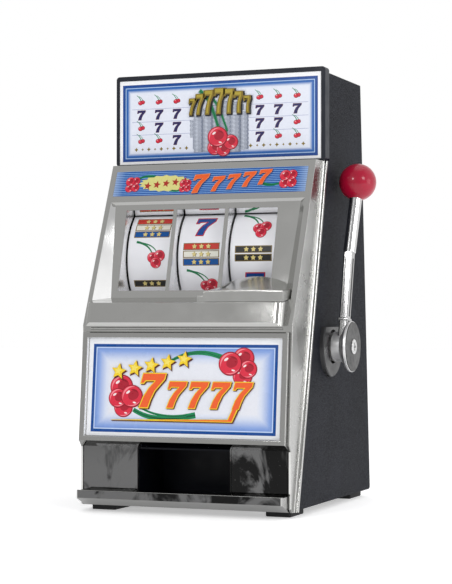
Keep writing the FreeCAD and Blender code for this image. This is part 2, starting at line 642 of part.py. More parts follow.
def reel_drum(x0, x1):
    middle = (x0 + x1) / 2
    rim = ring_x(DRUM_Y, DRUM_Z, DRUM_R, DRUM_R - 1.8, x0, x1)
    web = rod_x(DRUM_Y, DRUM_Z, DRUM_R - 1, middle - 1, middle + 1)
    hub = rod_x(DRUM_Y, DRUM_Z, 9.0, x0 + 1.0, x1)
    drum = fuse_all([rim, web, hub])
    spoke_count, hole_r = 6, 10.0
    cutters = [rod_x(*around_drum(SPOKE_CIRCLE_R, 2 * math.pi * turn / spoke_count), hole_r,
                     middle - 5, middle + 5) for turn in range(spoke_count)]
    cutters.append(rod_x(DRUM_Y, DRUM_Z, SHAFT_R + RUNNING, x0 - 5, x1 + 5))
    return cut_all(drum, cutters)


def star_wheel(x0):
    x1 = x0 + STAR_T
    star = ring_x(DRUM_Y, DRUM_Z, STAR_R, SHAFT_R + RUNNING, x0, x1)
    cutters = []
    for tooth in range(REEL_STOPS):
        angle = 2 * math.pi * (tooth + 0.5) / REEL_STOPS
        cutters.append(rod_x(*around_drum(STAR_R + 2, angle), STAR_TOOTH_R, x0 - 1, x1 + 1))
        cutters.append(rod_x(*around_drum(STAR_CIRCLE_R, angle), STAR_HOLE_R, x0 - 1, x1 + 1))
    return cut_all(star, cutters)


def reel_parts():
    for index in range(REEL_COUNT):
        number = str(index + 1)
        x0, x1 = reel_x(index) - DRUM_W / 2, reel_x(index) + DRUM_W / 2
        add("reel_drum_" + number, reel_drum(x0, x1))
        add("reel_strip_" + number, ring_x(DRUM_Y, DRUM_Z, STRIP_R, DRUM_R, x0, x1))
        add("star_wheel_" + number, star_wheel(x1))


def tie_places():
    return ((-8.0, 152.0), (72.0, 168.0), (40.0, 278.0))


def reel_frame():
    outline = [(-14, 112), (80, 112), (100, 170), (100, 232), (70, 284), (20, 284), (8, 262),
               (8, 232), (-14, 158)]
    fixed = [rod_x(DRUM_Y, DRUM_Z, SHAFT_R, -100, 100), rod_x(PAWL_Y, PAWL_Z, PAWL_SHAFT_R, -100, 100),
             rod_x(KICK_Y, KICK_Z, KICK_SHAFT_R, -100, 100)]
    ties = [rod_x(y, z, TIE_R, -100, 100) for y, z in tie_places()]
    lever_pass = rod_x(LEVER_Y, LEVER_Z, 10.0, 60, 90)
    feet_y = ((-14, 18), (50, 80))
    for name, x in (("reel_plate_left", PLATE_LEFT_X), ("reel_plate_right", PLATE_RIGHT_X)):
        plate = prism_x(outline, x, x + PLATE_T)
        legs = [box(x, x + PLATE_T, y0, y1, BASE_Z + WALL + 2, 112) for y0, y1 in feet_y]
        toes = [box(x - 10, x + PLATE_T, y0, y1, BASE_Z + WALL, BASE_Z + WALL + 2) for y0, y1 in feet_y]
        whole = fuse_all([plate] + legs + toes)
        add(name, cut_all(whole, fixed + ties + [lever_pass]))
    x0, x1 = PLATE_LEFT_X, PLATE_RIGHT_X + PLATE_T
    add("reel_shaft", rod_x(DRUM_Y, DRUM_Z, SHAFT_R, x0 - 2, x1 + 2))
    add("pawl_shaft", rod_x(PAWL_Y, PAWL_Z, PAWL_SHAFT_R, x0 - 2, x1 + 2))
    add("kicker_shaft", rod_x(KICK_Y, KICK_Z, KICK_SHAFT_R, x0 - 2, x1 + 2))
    add("tie_rods", Part.makeCompound([rod_x(y, z, TIE_R, x0 - 2, x1 + 2) for y, z in tie_places()]))


def toward_drum(y, z):
    """Unit direction in the YZ plane from a point to the reel shaft."""
    direction = V(0, DRUM_Y - y, DRUM_Z - z)
    direction.normalize()
    return direction


def bar_yz(start, end, half_thick, x0, x1):
    """A flat bar between two points of the YZ plane."""
    along = end - start
    along.normalize()
    side = V(0, -along.z, along.y) * half_thick
    corners = [start + side, end + side, end - side, start - side]
    return prism_x([(c.y, c.z) for c in corners], x0, x1)


def pawls():
    """Spring pawls that drop towards the rims of the star wheels."""
    tip_angle = math.radians(60)
    rim = STAR_R + 0.9
    tip = V(0, DRUM_Y + rim * math.cos(tip_angle), DRUM_Z + rim * math.sin(tip_angle))
    elbow = tip + V(0, math.cos(tip_angle), math.sin(tip_angle)) * 5.0
    for index in range(REEL_COUNT):
        x0 = reel_x(index) + DRUM_W / 2 + 0.2
        x1 = x0 + 1.3
        start = V(0, PAWL_Y, PAWL_Z)
        arm = bar_yz(start, elbow, 2.0, x0, x1)
        nose = bar_yz(elbow, tip, 1.6, x0, x1)
        hub = rod_x(PAWL_Y, PAWL_Z, 4.0, x0, x1 + 4)
        tail = bar_yz(start, start + V(0, 8, -9), 1.2, x0, x1)
        bore = rod_x(PAWL_Y, PAWL_Z, PAWL_SHAFT_R + RUNNING, x0 - 5, x1 + 9)
        add("detent_pawl_" + str(index + 1), fuse_all([arm, nose, hub, tail]).cut(bore))


def kicker():
    start = V(0, KICK_Y, KICK_Z)
    away = toward_drum(KICK_Y, KICK_Z)
    reach = (V(0, DRUM_Y, DRUM_Z) - start).Length - STRIP_R - 1.6
    tube = rod_x(KICK_Y, KICK_Z, 4.2, reel_x(0) - 18, PLATE_RIGHT_X - 1)
    fingers = [bar_yz(start, start + away * reach, 1.8, reel_x(i) - 4, reel_x(i) + 4)
               for i in range(REEL_COUNT)]
    whole = fuse_all([tube] + fingers).cut(rod_x(KICK_Y, KICK_Z, KICK_SHAFT_R + RUNNING, -100, 100))
    add("kicker_bar", whole)


# ---------------------------------------------------------------- lever
def hub_outline():
    """Outside of the hub as (x, radius) points, from the cabinet side to the face."""
    return [(BOSS_FACE_X - 2.2, 10.0), (BOSS_FACE_X - 1.2, 11.4), (BOSS_FACE_X + 0.2, 12.3),
            (BOSS_FACE_X + 2.0, 12.8), (110.0, 12.8), (111.2, 13.4), (114.4, 19.6), (115.4, 20.8),
            (116.4, HUB_R), (118.2, HUB_R), (HUB_FACE_X, HUB_R - 0.9)]


def hub_screw_hole():
    return rod_x(LEVER_Y, LEVER_Z, 2.0, HUB_FACE_X - 5, HUB_FACE_X + 2)


def lever_hub():
    outside = hub_outline()
    hub = turned_x([(outside[0][0], LEVER_SHAFT_R)] + outside + [
        (HUB_FACE_X, 0), (HUB_FLOOR_X, 0), (HUB_FLOOR_X, LEVER_SHAFT_R)], LEVER_Y, LEVER_Z)
    screw_seat = rod_x(LEVER_Y, LEVER_Z, 6.6, HUB_FACE_X - HUB_SCREW_SEAT, HUB_FACE_X + 2)
    add("lever_hub", cut_all(hub, [screw_seat, hub_screw_hole()]))
    head = screw(6.4, 1.7, 2.0, 4.0)
    add("hub_screw", facing(head, X_AXIS, V(HUB_FACE_X - HUB_SCREW_SEAT, LEVER_Y, LEVER_Z)))


def lever_arm():
    """The square fluted arm with its collar. Returns the arm before the hub is cut out of it."""
    down = LEVER_FOOT_END - LEVER_SHOULDER
    down.normalize()
    root = LEVER_FOOT_END + down * 14
    half_x, half_y, flute, depth = 3.8, 4.6, 1.7, 1.0
    length = (LEVER_SHOULDER - root).Length
    low, high = 17, length - 5
    spine = box(-half_x, half_x, -half_y, half_y, 0, length)
    spine = round_edges(spine, 1.2, lambda p, d, e: abs(d.z) > 0.99)
    fluting = []
    for side in (-1, 1):
        y, x = side * half_y, side * half_x
        fluting.append(box(-flute, flute, y - depth, y + depth, low, high))
        fluting.append(box(x - depth, x + depth, -flute, flute, low, high))
    spine = cut_all(spine, fluting)
    proud = 0.9
    collar = box(-half_x - proud, half_x + proud, -half_y - proud, half_y + proud, 13.0, 15.6)
    collar = round_edges(collar, 0.8, lambda p, d, e: True)
    arm = spine.fuse(collar)
    arm.Placement = FreeCAD.Placement(root, FreeCAD.Rotation(Z_AXIS, LEVER_SHOULDER - root))
    outside = hub_outline()
    inside_hub = turned_x([(outside[0][0], 0)] + outside + [(HUB_FACE_X, 0)], LEVER_Y, LEVER_Z)
    add("lever_arm", arm.cut(inside_hub).removeSplitter())
    return arm


def lever_grip(arm):
    """The round rod above the arm and the ball on its end."""
    knob_axis = KNOB - LEVER_SHOULDER
    knob_axis.normalize()
    rod_top = KNOB - knob_axis * 4
    rod = rod_between(LEVER_SHOULDER, rod_top, ROD_R)
    foot_edges = [e for e in rod.Edges if e.BoundBox.ZMax < LEVER_SHOULDER.z + 3 and e.Length > 25]
    add("lever_rod", rod.makeFillet(0.6, foot_edges).cut(arm))
    ball = Part.makeSphere(KNOB_R, KNOB)
    add("lever_knob", ball.cut(rod_between(LEVER_SHOULDER, rod_top, ROD_R)))


def lever_drive():
    """Shaft, crank and return spring inside the cabinet."""
    shaft = rod_x(LEVER_Y, LEVER_Z, LEVER_SHAFT_R, 75.0, HUB_FLOOR_X)
    add("lever_shaft", shaft.cut(hub_screw_hole()))
    crank_x, pin_y, pin_z = 76.5, LEVER_Y + CRANK_Y, LEVER_Z + CRANK_Z
    boss = rod_x(LEVER_Y, LEVER_Z, 9.0, crank_x, 84.0)
    web = bar_yz(V(0, LEVER_Y, LEVER_Z), V(0, pin_y, pin_z), 4.0, crank_x, 79.5)
    pin = rod_x(pin_y, pin_z, 2.5, crank_x, 86.0)
    add("lever_crank", fuse_all([boss, web, pin]).cut(rod_x(LEVER_Y, LEVER_Z, LEVER_SHAFT_R, 60, 100)))
    add("lever_spring", ring_x(LEVER_Y, LEVER_Z, 8.6, 6.4, 84.6, 89.6))


# ---------------------------------------------------------------- electrics
def cell_places():
    return [CELL_FIRST_X + index * CELL_PITCH for index in range(CELL_COUNT)]


def battery_bay():
    bay = box(-57.0, -3.0, 82.0, back_y(150) - 1.5, 120.5, 189.5)
    rear = prism_x([(back_y(195) - WALL, 195), (back_y(115) - WALL, 115), (140, 115), (140, 195)], -70, 10)
    cells_room = [Part.makeCylinder(7.5, 56, V(x, 94.0, 127), Z_AXIS) for x in cell_places()]
    mouth = box(-54.8, -5.2, 94.0, 140, 123.2, 186.8)
    add("battery_box", cut_all(bay, [rear, mouth] + cells_room))
    cells = []
    contacts = []
    for x in cell_places():
        can = Part.makeCylinder(7.2, 49.0, V(x, CELL_Y, 128.5), Z_AXIS)
        nub = Part.makeCylinder(2.7, 1.3, V(x, CELL_Y, 177.5), Z_AXIS)
        cells.append(can.fuse(nub).removeSplitter())
        contacts += [box(x - 5, x + 5, 95.0, 101.0, z, z + 0.6) for z in (186.0, 123.4)]
    add("batteries", Part.makeCompound(cells))
    add("battery_contacts", Part.makeCompound(contacts))
    door = rear_block(1.15, -0.15, -57.6, -2.4, 120.4, 189.6)
    grip = [rear_block(0.2, 0.9, -42, -18, z, z + 1.0) for z in (178.0, 181.0, 184.0)]
    add("battery_door", fuse_all([door] + grip))


def speaker_and_board():
    speaker = Part.makeCylinder(18.0, 4.0, V(45, 0, 150), Y_AXIS)
    magnet = Part.makeCylinder(9.0, 7.0, V(45, -7, 150), Y_AXIS)
    speaker = speaker.fuse(magnet).removeSplitter()
    speaker.rotate(V(45, 0, 150), X_AXIS, math.degrees(math.atan(BACK_LEAN)))
    speaker.translate(V(0, back_y(150) - WALL - 4.1, 0))
    add("speaker", speaker)

    board = box(12, 66, BOARD_BACK_Y - 1.6, BOARD_BACK_Y, 212, 240)
    chips = [box(20, 32, 99.5, 103.0, 216, 228), Part.makeCylinder(3.2, 9, V(44, 94, 220), Y_AXIS),
             Part.makeCylinder(3.2, 9, V(54, 94, 220), Y_AXIS)]
    add("circuit_board", fuse_all([board] + chips))
    button = box(21.0, 25.0, 106.0, back_y(206) + 1.6, 204.0, 208.0)
    slider = box(19.5, 26.5, 104.9, 109.6, 202.6, 209.4)
    add("power_switch", fuse_all([button, slider]))


# ---------------------------------------------------------------- rear coin door
def coin_door():
    pin_y = back_y(DOOR_PIN_Z) - 1.0
    z0, z1 = 30.2, 90.0
    leaf = rear_block(WALL, 0, -34.0, 34.0, z0, z1)
    knuckles = []
    for x0 in (-25.0, 13.0):
        knuckles.append(rod_x(pin_y, DOOR_PIN_Z, 2.6, x0, x0 + 12))
        knuckles.append(box(x0, x0 + 12, pin_y - 1.0, pin_y + 1.0, DOOR_PIN_Z, z0 + 0.5))
    leaf = fuse_all([leaf] + knuckles)
    lock_hole = Part.makeCylinder(6.0 + RUNNING, 40, V(0, 100, LOCK_Z), Y_AXIS)
    pin_bore = rod_x(pin_y, DOOR_PIN_Z, PIN_R + RUNNING, -60, 60)
    add("coin_door", leaf.cut(lock_hole).cut(pin_bore))
    pin = rod_x(pin_y, DOOR_PIN_Z, PIN_R, -28.0, 28.0)
    lugs = [box(x, x + 2.0, pin_y - 3.0, pin_y + 0.6, DOOR_PIN_Z - 3.0, DOOR_PIN_Z + 2.4)
            for x in (-28.0, 26.0)]
    add("door_pin", fuse_all([pin] + lugs))


def door_lock():
    y_face = back_y(LOCK_Z)
    barrel = Part.makeCylinder(6.0, 9.0, V(0, y_face - 8.0, LOCK_Z), Y_AXIS)
    grip = Part.makeCylinder(8.0, 2.4, V(0, y_face + 1.0, LOCK_Z), Y_AXIS)
    bar = box(-6.5, 6.5, y_face + 3.4, y_face + 5.4, LOCK_Z - 1.4, LOCK_Z + 1.4)
    cam = box(-6.0, 20.0, y_face - 8.0, y_face - 6.2, LOCK_Z - 3.4, LOCK_Z + 3.4)
    add("door_lock", fuse_all([barrel, grip, bar, cam]))


# ---------------------------------------------------------------- build and write
def build():
    cabinet_shell()
    lever_boss()
    lever_bush()
    base_plate()
    feet()
    rear_cover()
    cabinet_screws()
    sign()
    fascia()
    counter()
    coin_entry()
    belly()
    tray_surround()
    coin_path()
    payout_gate()
    coin_trip()
    reel_parts()
    reel_frame()
    pawls()
    kicker()
    lever_hub()
    lever_grip(lever_arm())
    lever_drive()
    battery_bay()
    speaker_and_board()
    coin_door()
    door_lock()


def write():
    os.makedirs("parts", exist_ok=True)
    for name, shape in NODES.items():
        placed = shape.copy()
        placed.translate(ORIGIN * -1)
        placed.exportStep("parts/" + name + ".step")


build()
write()
print(len(NODES), "nodes written")
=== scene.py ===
"""Looks for the table-top slot machine: materials, printed art, spring, black strips of painted shadow at
the windows, light and camera.

Art is drawn in millimetres on each printed surface and laid just above it. Art outlines are lists of
(across, up) points, each with a level, and a higher level lies over a lower one.
"""
import bpy
import bmesh
import json
import math
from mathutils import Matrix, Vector


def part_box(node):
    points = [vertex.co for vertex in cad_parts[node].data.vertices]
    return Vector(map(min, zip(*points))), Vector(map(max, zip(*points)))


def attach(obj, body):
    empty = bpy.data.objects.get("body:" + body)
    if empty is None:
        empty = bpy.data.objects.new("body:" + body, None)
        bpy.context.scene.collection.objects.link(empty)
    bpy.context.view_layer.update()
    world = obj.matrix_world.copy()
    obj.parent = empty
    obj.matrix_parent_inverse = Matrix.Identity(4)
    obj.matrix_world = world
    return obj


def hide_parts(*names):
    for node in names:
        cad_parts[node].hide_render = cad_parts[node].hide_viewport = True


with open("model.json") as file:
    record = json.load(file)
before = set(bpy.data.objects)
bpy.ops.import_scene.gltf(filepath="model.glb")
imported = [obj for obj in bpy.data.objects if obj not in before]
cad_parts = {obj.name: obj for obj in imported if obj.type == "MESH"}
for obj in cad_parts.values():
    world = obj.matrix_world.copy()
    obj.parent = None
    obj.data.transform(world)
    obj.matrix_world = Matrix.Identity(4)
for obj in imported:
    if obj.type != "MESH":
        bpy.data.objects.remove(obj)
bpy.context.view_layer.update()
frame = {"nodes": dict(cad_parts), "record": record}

MM = 0.001
LEVEL = 0.02               # height of one printed layer, mm
BASE_LIFT = 0.03           # clearance of the first layer above its surface, mm
REEL_STOPS = 13            # symbols round each reel
REEL_PHASE = 4.2           # degrees that the front symbol stands above the reel's front
PANEL_LEAN = 0.272         # how far the reel panel leans back for each unit of height
PANEL_AT_FLOOR = -117.3    # where the panel's plane would meet the floor, mm
WINDOW_REACH = 74.0        # half the width that holds the three reel windows, mm
WINDOW_TOP = 256.0         # height of the windows' upper edges, mm
SHADOW_STRIP_GAP = 0.65            # clearance between a reel strip and the black strip of painted shadow above it, mm
SHADOW_STRIP_THICK = 0.45
SHADOW_STRIP_ANGLE = 45.8          # degrees above the reel's front
SHADOW_STRIP_SPAN = 0.7            # degrees of the reel that the black strip covers
SHADOW_STRIP_HALF = 22.0           # half its width, mm
MARQUEE_THICK = 0.35       # thickness of the two printed slabs, mm
LABEL_THICK = 0.4

PIT_LIMIT = 0.735          # noise value above which plating has a pinhole
SPOT_LIMIT = 0.73          # the same for dark spots in the lever's metal
# pairs of values of the normal between which plating changes
FACING_DOWN = (-0.62, -0.2)    # painted underside shade to no shade, by the normal's upward part
FACING_RIGHT = (0.4, 0.8)      # no shade to painted shade, by its rightward part
SOFT_RIGHT = (0.55, 0.9)       # polished to satin, by its rightward part
FACING_FRONT = (-0.99, -0.93)  # painted dark reflections on upright faces to none, by its backward part
PANEL_SKIN = 0.8           # depth behind the reel panel where the tunnel walls begin, mm
VINYL_CELLS = 620.0        # pebbles of the vinyl's grain, for each metre
STRIPE_PITCH = 0.0016      # spacing of the marquee's printed lines, m
STRIPE_WOBBLE = 0.0004     # how far they stray, m
PRINT_MARGIN = 1.0         # room outside a print's edge in its colour ramp, mm
PRINT_CORNER = 0.4         # rounding of the print's corners, mm
# distance inside a print's edge, in mm, and the screen colour there
SIGN_BORDER = ((-0.25, (250, 250, 252)), (0.05, (0, 62, 140)), (2.4, (0, 70, 150)),
               (2.7, (176, 204, 236)), (3.1, (176, 204, 236)), (3.4, (14, 84, 164)),
               (4.8, (40, 104, 182)), (7.4, (226, 232, 246)), (9.0, (232, 236, 248)))
BELLY_BORDER = ((-0.25, (240, 242, 246)), (0.05, (4, 70, 146)), (2.3, (4, 70, 146)),
                (2.6, (196, 216, 246)), (3.2, (196, 216, 246)), (3.5, (116, 148, 214)),
                (6.0, (140, 168, 224)), (13.0, (214, 222, 240)), (17.0, (230, 232, 240)))
SIGN_PRINT_HALF = 91.0     # half width of the sign's print, mm
SIGN_PRINT_INSET = (2.5, 3.7)      # its distance from the panel's lower and upper edges
BELLY_PRINT_HALF = 82.6
BELLY_PRINT_SPAN = (67.1, 140.4)   # heights of the belly print's lower and upper edges

SPRING_WIRE = 0.45         # wire radius of the lever's return spring, mm
SPRING_TURNS = 5
SPRING_STEPS = 40          # points in each turn

BAR_WIDE = 33.4            # printed bar on a reel, mm
BAR_TALL = 6.2
BAR_STAR_PITCH = 6.4
BAR_GAPS = (6.7, 3.6)      # distance of the outer bars from the middle: three bars, two bars
REEL_CUT = 3.0             # spacing of the extra cuts in art wrapped round a reel, mm
REEL_LINE = 0.7            # width of the black line at each edge of a strip, mm

SIGN_ROWS = (20.4, 31.9, 43.3, 54.6)     # heights of the rows of small symbols, lowest first
SIGN_LEFT = ("CCS", "CSS", "SSS", "CCC")     # C is a cherry, S is a seven
SIGN_RIGHT = ("SCC", "SSC", "SSS", "CCC")
SIGN_COLUMN_PITCH = 17.0
# for each side of the sign: its rows, first column, rule from and to, first of its small stars
SIGN_SIDES = ((SIGN_LEFT, -73.5, (-82.2, -26.0), -78.0), (SIGN_RIGHT, 38.1, (27.0, 82.6), 30.0))
SIGN_STAR_COUNT = 9
SIGN_STAR_PITCH = 6.0
SIGN_STAR_UP = 13.0
COIN_PITCH = 1.15          # height of one coin in a printed stack
# printed coin stacks: middle, low end, high end, half width
COIN_STACKS = ((-24.2, 22.0, 37.0, 2.4), (-2.0, 20.0, 50.0, 4.0), (8.0, 12.0, 53.0, 4.4),
               (16.5, 20.0, 52.0, 4.4), (-18.6, 8.8, 40.5, 4.3), (-9.6, 9.0, 46.0, 4.4),
               (24.6, 10.0, 43.0, 3.4), (16.2, 8.0, 41.0, 4.6))
SIGN_BUNCH_LEVEL = 38      # levels from which the sign's bunch and the arched numerals start
ARCH_LEVEL = 62
ARCH_X = (-24.4, -17.4, -8.8, 1.4, 10.6, 19.4, 27.6)     # middles of the arched gold numerals
ARCH_LOW = 41.6            # their common foot
ARCH_MIDDLE = 2.0
ARCH_HALF = 27.0           # half the width of the arch
ARCH_TALLEST = 22.0
ARCH_DROP = 8.4            # how much shorter the outermost numerals are

# leaves: points of the curve, widths at its two ends, level
SIGN_LEAVES = (
    ([(-17.5, 62.5), (-9.0, 57.0), (-5.0, 47.0), (1.0, 27.0)], (3.4, 2.4), 36),
    ([(-9.0, 58.0), (0.0, 52.0), (3.0, 42.0), (8.6, 26.0)], (2.6, 1.8), 36),
)
MARQUEE_LEAVES = (
    ([(-66.0, 15.5), (-58.0, 19.0), (-50.0, 16.0)], (1.6, 2.6), 0),
    ([(-36.0, 5.0), (-28.0, 2.2), (-20.0, 6.0)], (2.8, 1.4), 0),
    ([(48.0, 8.5), (58.0, 4.5), (68.0, 9.0)], (2.8, 1.4), 0),
)
BELLY_LEAVES = (
    ([(-11.0, 63.0), (6.0, 72.5), (24.0, 71.0), (40.0, 63.5)], (2.4, 4.6), 0),
    ([(0.0, 68.5), (14.0, 73.0), (28.0, 69.0), (41.0, 61.0)], (1.2, 2.4), 2),
    ([(-44.0, 22.0), (-30.0, 14.0), (-14.0, 13.0), (12.0, 18.5)], (3.6, 5.0), 0),
    ([(-40.0, 25.0), (-28.0, 18.0), (-12.0, 15.5), (4.0, 18.0)], (1.4, 2.6), 2),
)
# bunches of cherries: middle and size of each one, later ones in front
SIGN_BUNCH = [(-3.0, 12.4, 7.0), (5.0, 10.9, 6.8), (12.0, 16.6, 6.9), (-0.2, 21.6, 9.4)]
MARQUEE_BUNCH = [(-0.6, -0.75, 1.0), (0.75, -0.7, 0.95), (0.7, 0.7, 0.95), (-0.6, 0.6, 1.05)]
MARQUEE_BUNCHES = ((-71.5, 10.2, 1.0), (-21.5, 7.8, 0.82), (72.0, 11.4, 1.16))     # across, up, scale
BELLY_BUNCHES = (
    [(53.0, 65.2, 9.5), (52.6, 51.0, 8.8), (57.2, 56.4, 8.0), (41.6, 60.8, 10.4)],
    [(-55.4, 41.0, 10.5), (-53.0, 23.6, 8.6), (-58.3, 31.4, 8.6), (-45.6, 33.0, 10.0)],
)
CHERRY_LEVELS = 5          # levels that one cherry takes up
LABEL_BUNCH_LEVEL = 4      # where the labels' bunches start
MARQUEE_TOP_LEVEL = 30     # where the marquee's numerals start
BELLY_TOP_LEVEL = 40       # where the belly's stars and numerals start
BURST_MIDDLE = (-41.0, 10.6)
BURST_FLAT = 0.30          # how flat the marquee's burst is, height over width

FLOOR_REACH = 7.0          # half the floor's side, m
FLOOR_GLOW = 0.45          # strength of its own faint light, which keeps it pale
FLOOR_FADE = (-1.5, -0.55)     # where the floor turns grey ahead of the machine, m
STUDIO_AIM = (0.5, 0.87, 0.0)  # the studio is brightest this way
# grey level of the studio, from 0, opposite that way, to 1, along it
STUDIO_TONES = ((0.0, 0.42), (0.06, 0.50), (0.16, 0.50), (0.58, 0.45), (0.73, 1.0))
LIGHT_TARGET = (0.0, 0.0, 0.2)
# lamps: name, place in m, width and height in m, watts
LAMPS = (("key", (1.32, -0.85, 0.85), (0.42, 0.42), 5.0),
         ("front", (-0.31, -1.55, 0.79), (0.34, 0.34), 4.4),
         ("top", (0.0, 0.1, 1.6), (1.2, 0.9), 3.0),
         ("side", (1.7, 0.0, 0.25), (0.7, 0.9), 3.4))
CAMERA_PLACE = (0.55216, -1.44285, 0.16183)    # m
CAMERA_PITCH = 90.86       # degrees from straight down
CAMERA_TURN = 21.55        # degrees round to the machine's right front
CAMERA_LENS = 109.0        # focal length and sensor width, mm
CAMERA_SENSOR = 36.0


# ---------------------------------------------------------------- colour and node helpers
def rgb(red, green, blue):
    """Screen colour, 0 to 255, as the linear colour that shaders take."""
    def linear(value):
        value /= 255
        return value / 12.92 if value <= 0.04045 else ((value + 0.055) / 1.055) ** 2.4
    return (linear(red), linear(green), linear(blue), 1.0)


class Shader:
    """A material with a Principled shader and short calls for the nodes that feed it."""

    def __init__(self, name, color=(0.8, 0.8, 0.8, 1.0), **sockets):
        self.material = bpy.data.materials.new(name)
        self.material.use_nodes = True
        self.tree = self.material.node_tree
        self.base = self.tree.nodes["Principled BSDF"]
        self.base.inputs["Base Color"].default_value = color
        self.material.diffuse_color = color
        for socket, value in sockets.items():
            self.base.inputs[socket.replace("_", " ")].default_value = value

    def node(self, kind, settings=None, **inputs):
        made = self.tree.nodes.new(kind)
        for key, value in (settings or {}).items():
            setattr(made, key, value)
        for key, value in inputs.items():
            self.feed(made.inputs[key.replace("_", " ")], value)
        return made

    def feed(self, socket, value):
        if isinstance(value, bpy.types.NodeSocket):
            self.tree.links.new(value, socket)
        else:
            socket.default_value = value

    def place(self, stretch=(1, 1, 1)):
        """Object position in metres, stretched along each axis."""
        where = self.node("ShaderNodeTexCoord").outputs["Object"]
        if stretch == (1, 1, 1):
            return where
        mapping = self.node("ShaderNodeMapping", Vector=where)
        mapping.inputs["Scale"].default_value = stretch
        return mapping.outputs["Vector"]

    def noise(self, scale, detail=4.0, roughness=0.55, stretch=(1, 1, 1), distortion=0.0):
        return self.node("ShaderNodeTexNoise", Vector=self.place(stretch), Scale=scale, Detail=detail,
                         Roughness=roughness, Distortion=distortion).outputs["Fac"]

    def math(self, operation, first, second=0.0, clamp=False):
        made = self.node("ShaderNodeMath", {"operation": operation, "use_clamp": clamp})
        self.feed(made.inputs[0], first)
        self.feed(made.inputs[1], second)
        return made.outputs[0]

    def spread(self, value, low, high, out_low, out_high):
        made = self.node("ShaderNodeMapRange", Value=value)
        for key, number in (("From Min", low), ("From Max", high),
                            ("To Min", out_low), ("To Max", out_high)):
            made.inputs[key].default_value = number
        return made.outputs[0]

    def ramp(self, value, stops):
        """Colour ramp from (position, colour) stops."""
        made = self.node("ShaderNodeValToRGB", Fac=value)
        ramp = made.color_ramp
        while len(ramp.elements) < len(stops):
            ramp.elements.new(1.0)
        for element, (position, color) in zip(ramp.elements, stops):
            element.position = position
            element.color = color
        return made.outputs["Color"]

    def mix(self, factor, first, second):
        made = self.node("ShaderNodeMix", {"data_type": "RGBA"})
        self.feed(made.inputs["Factor"], factor)
        self.feed(made.inputs[6], first)
        self.feed(made.inputs[7], second)
        return made.outputs[2]

    def bump(self, height, distance, strength=1.0, under=None):
        made = self.node("ShaderNodeBump", Height=height, Distance=distance, Strength=strength)
        if under is not None:
            self.feed(made.inputs["Normal"], under)
        return made.outputs["Normal"]

    def set(self, **sockets):
        for socket, value in sockets.items():
            self.feed(self.base.inputs[socket.replace("_", " ")], value)
        return self.material


def shade(value):
    return (value, value, value, 1.0)


# ---------------------------------------------------------------- materials
def chrome(name, tone=0.60, wave=0.35, gloss=0.0, painted_reflections=False, tunnels=False):
    """Vacuum-plated plastic: a slightly wavy mirror with fine specks and pinholes, with painted shade on
    faces that look down and on faces that look to the right.

    One flag paints dark reflections as smoky clouds on the upright faces; tunnels paints the plating
    near-white inside the reel windows and on the left window's side wall, standing in for their bright
    reflections.
    """
    m = Shader(name, (tone, tone, tone * 0.97, 1.0), Metallic=1.0)
    cloud = m.noise(9.0, 3.0)
    specks = m.noise(900.0, 2.0, 0.7)
    pits = m.math("GREATER_THAN", specks, PIT_LIMIT)
    tint = m.mix(cloud, (tone * 0.93, tone * 0.93, tone * 0.89, 1.0),
                 (tone * 1.07, tone * 1.07, tone * 1.05, 1.0))
    facing = m.node("ShaderNodeSeparateXYZ", Vector=m.node("ShaderNodeTexCoord").outputs["Normal"])
    # painted shade: faces that look down are darkened, as if in shade under ledges
    below = m.spread(facing.outputs["Z"], *FACING_DOWN, 0.75, 0.0)
    tint = m.mix(below, tint, shade(tone * 0.2))
    # painted shade: faces that look to the right are darkened, standing in for the greyer side reflections
    aside = m.spread(facing.outputs["X"], *FACING_RIGHT, 0.0, 0.45)
    tint = m.mix(aside, tint, shade(tone * 0.45))
    if painted_reflections:
        # painted reflections: the upright faces get dark smoky clouds in place of the dark things they would
        # reflect
        upright = m.spread(facing.outputs["Y"], *FACING_FRONT, 1.0, 0.0)
        tint = m.mix(upright, tint, painted_reflection_clouds(m))
    if tunnels:
        # painted light: plating in the reel tunnels and on the left window's right-facing wall is made
        # near-white, standing in for bright reflections
        painted_brightening = m.math("MAXIMUM", tunnel_mask(m), left_tunnel_wall(m, facing))
        tint = m.mix(m.math("MULTIPLY", painted_brightening, 0.95), tint, shade(0.97))
    tint = m.mix(pits, tint, (0.16, 0.16, 0.15, 1.0))
    smear = m.spread(m.noise(34.0, 6.0, 0.6), 0.35, 0.75, 0.045 + gloss, 0.13 + gloss)
    satin = m.spread(facing.outputs["X"], *SOFT_RIGHT, 0.0, 0.2)
    rough = m.math("ADD", m.math("ADD", smear, satin), m.math("MULTIPLY", pits, 0.35))
    waves = m.bump(m.noise(16.0, 2.0, 0.4), 0.0006, wave)
    normal = m.bump(m.noise(260.0, 2.0, 0.5), 0.00002, 0.3, waves)
    return m.set(Base_Color=tint, Roughness=rough, Normal=normal)


def painted_reflection_clouds(m):
    """Painted dark reflections: dark plating with darker smoky clouds, more of them towards the right."""
    across = m.node("ShaderNodeSeparateXYZ", Vector=m.place()).outputs["X"]
    drift = m.math("ADD", m.noise(30.0, 5.0, 0.6, (1.0, 1.0, 0.55), 1.4),
                   m.spread(across, -0.1, 0.1, -0.1, 0.12))
    return m.mix(m.spread(drift, 0.46, 0.58, 0.0, 1.0), shade(0.115), shade(0.012))


def left_tunnel_wall(m, facing):
    """1 on the faces left of the left window that look to the right, else 0."""
    across = m.node("ShaderNodeSeparateXYZ", Vector=m.place()).outputs["X"]
    beyond = m.math("LESS_THAN", across, (WINDOW_MIDDLE - WINDOW_REACH) * MM)
    return m.math("MULTIPLY", beyond, m.math("GREATER_THAN", facing.outputs["X"], 0.5))


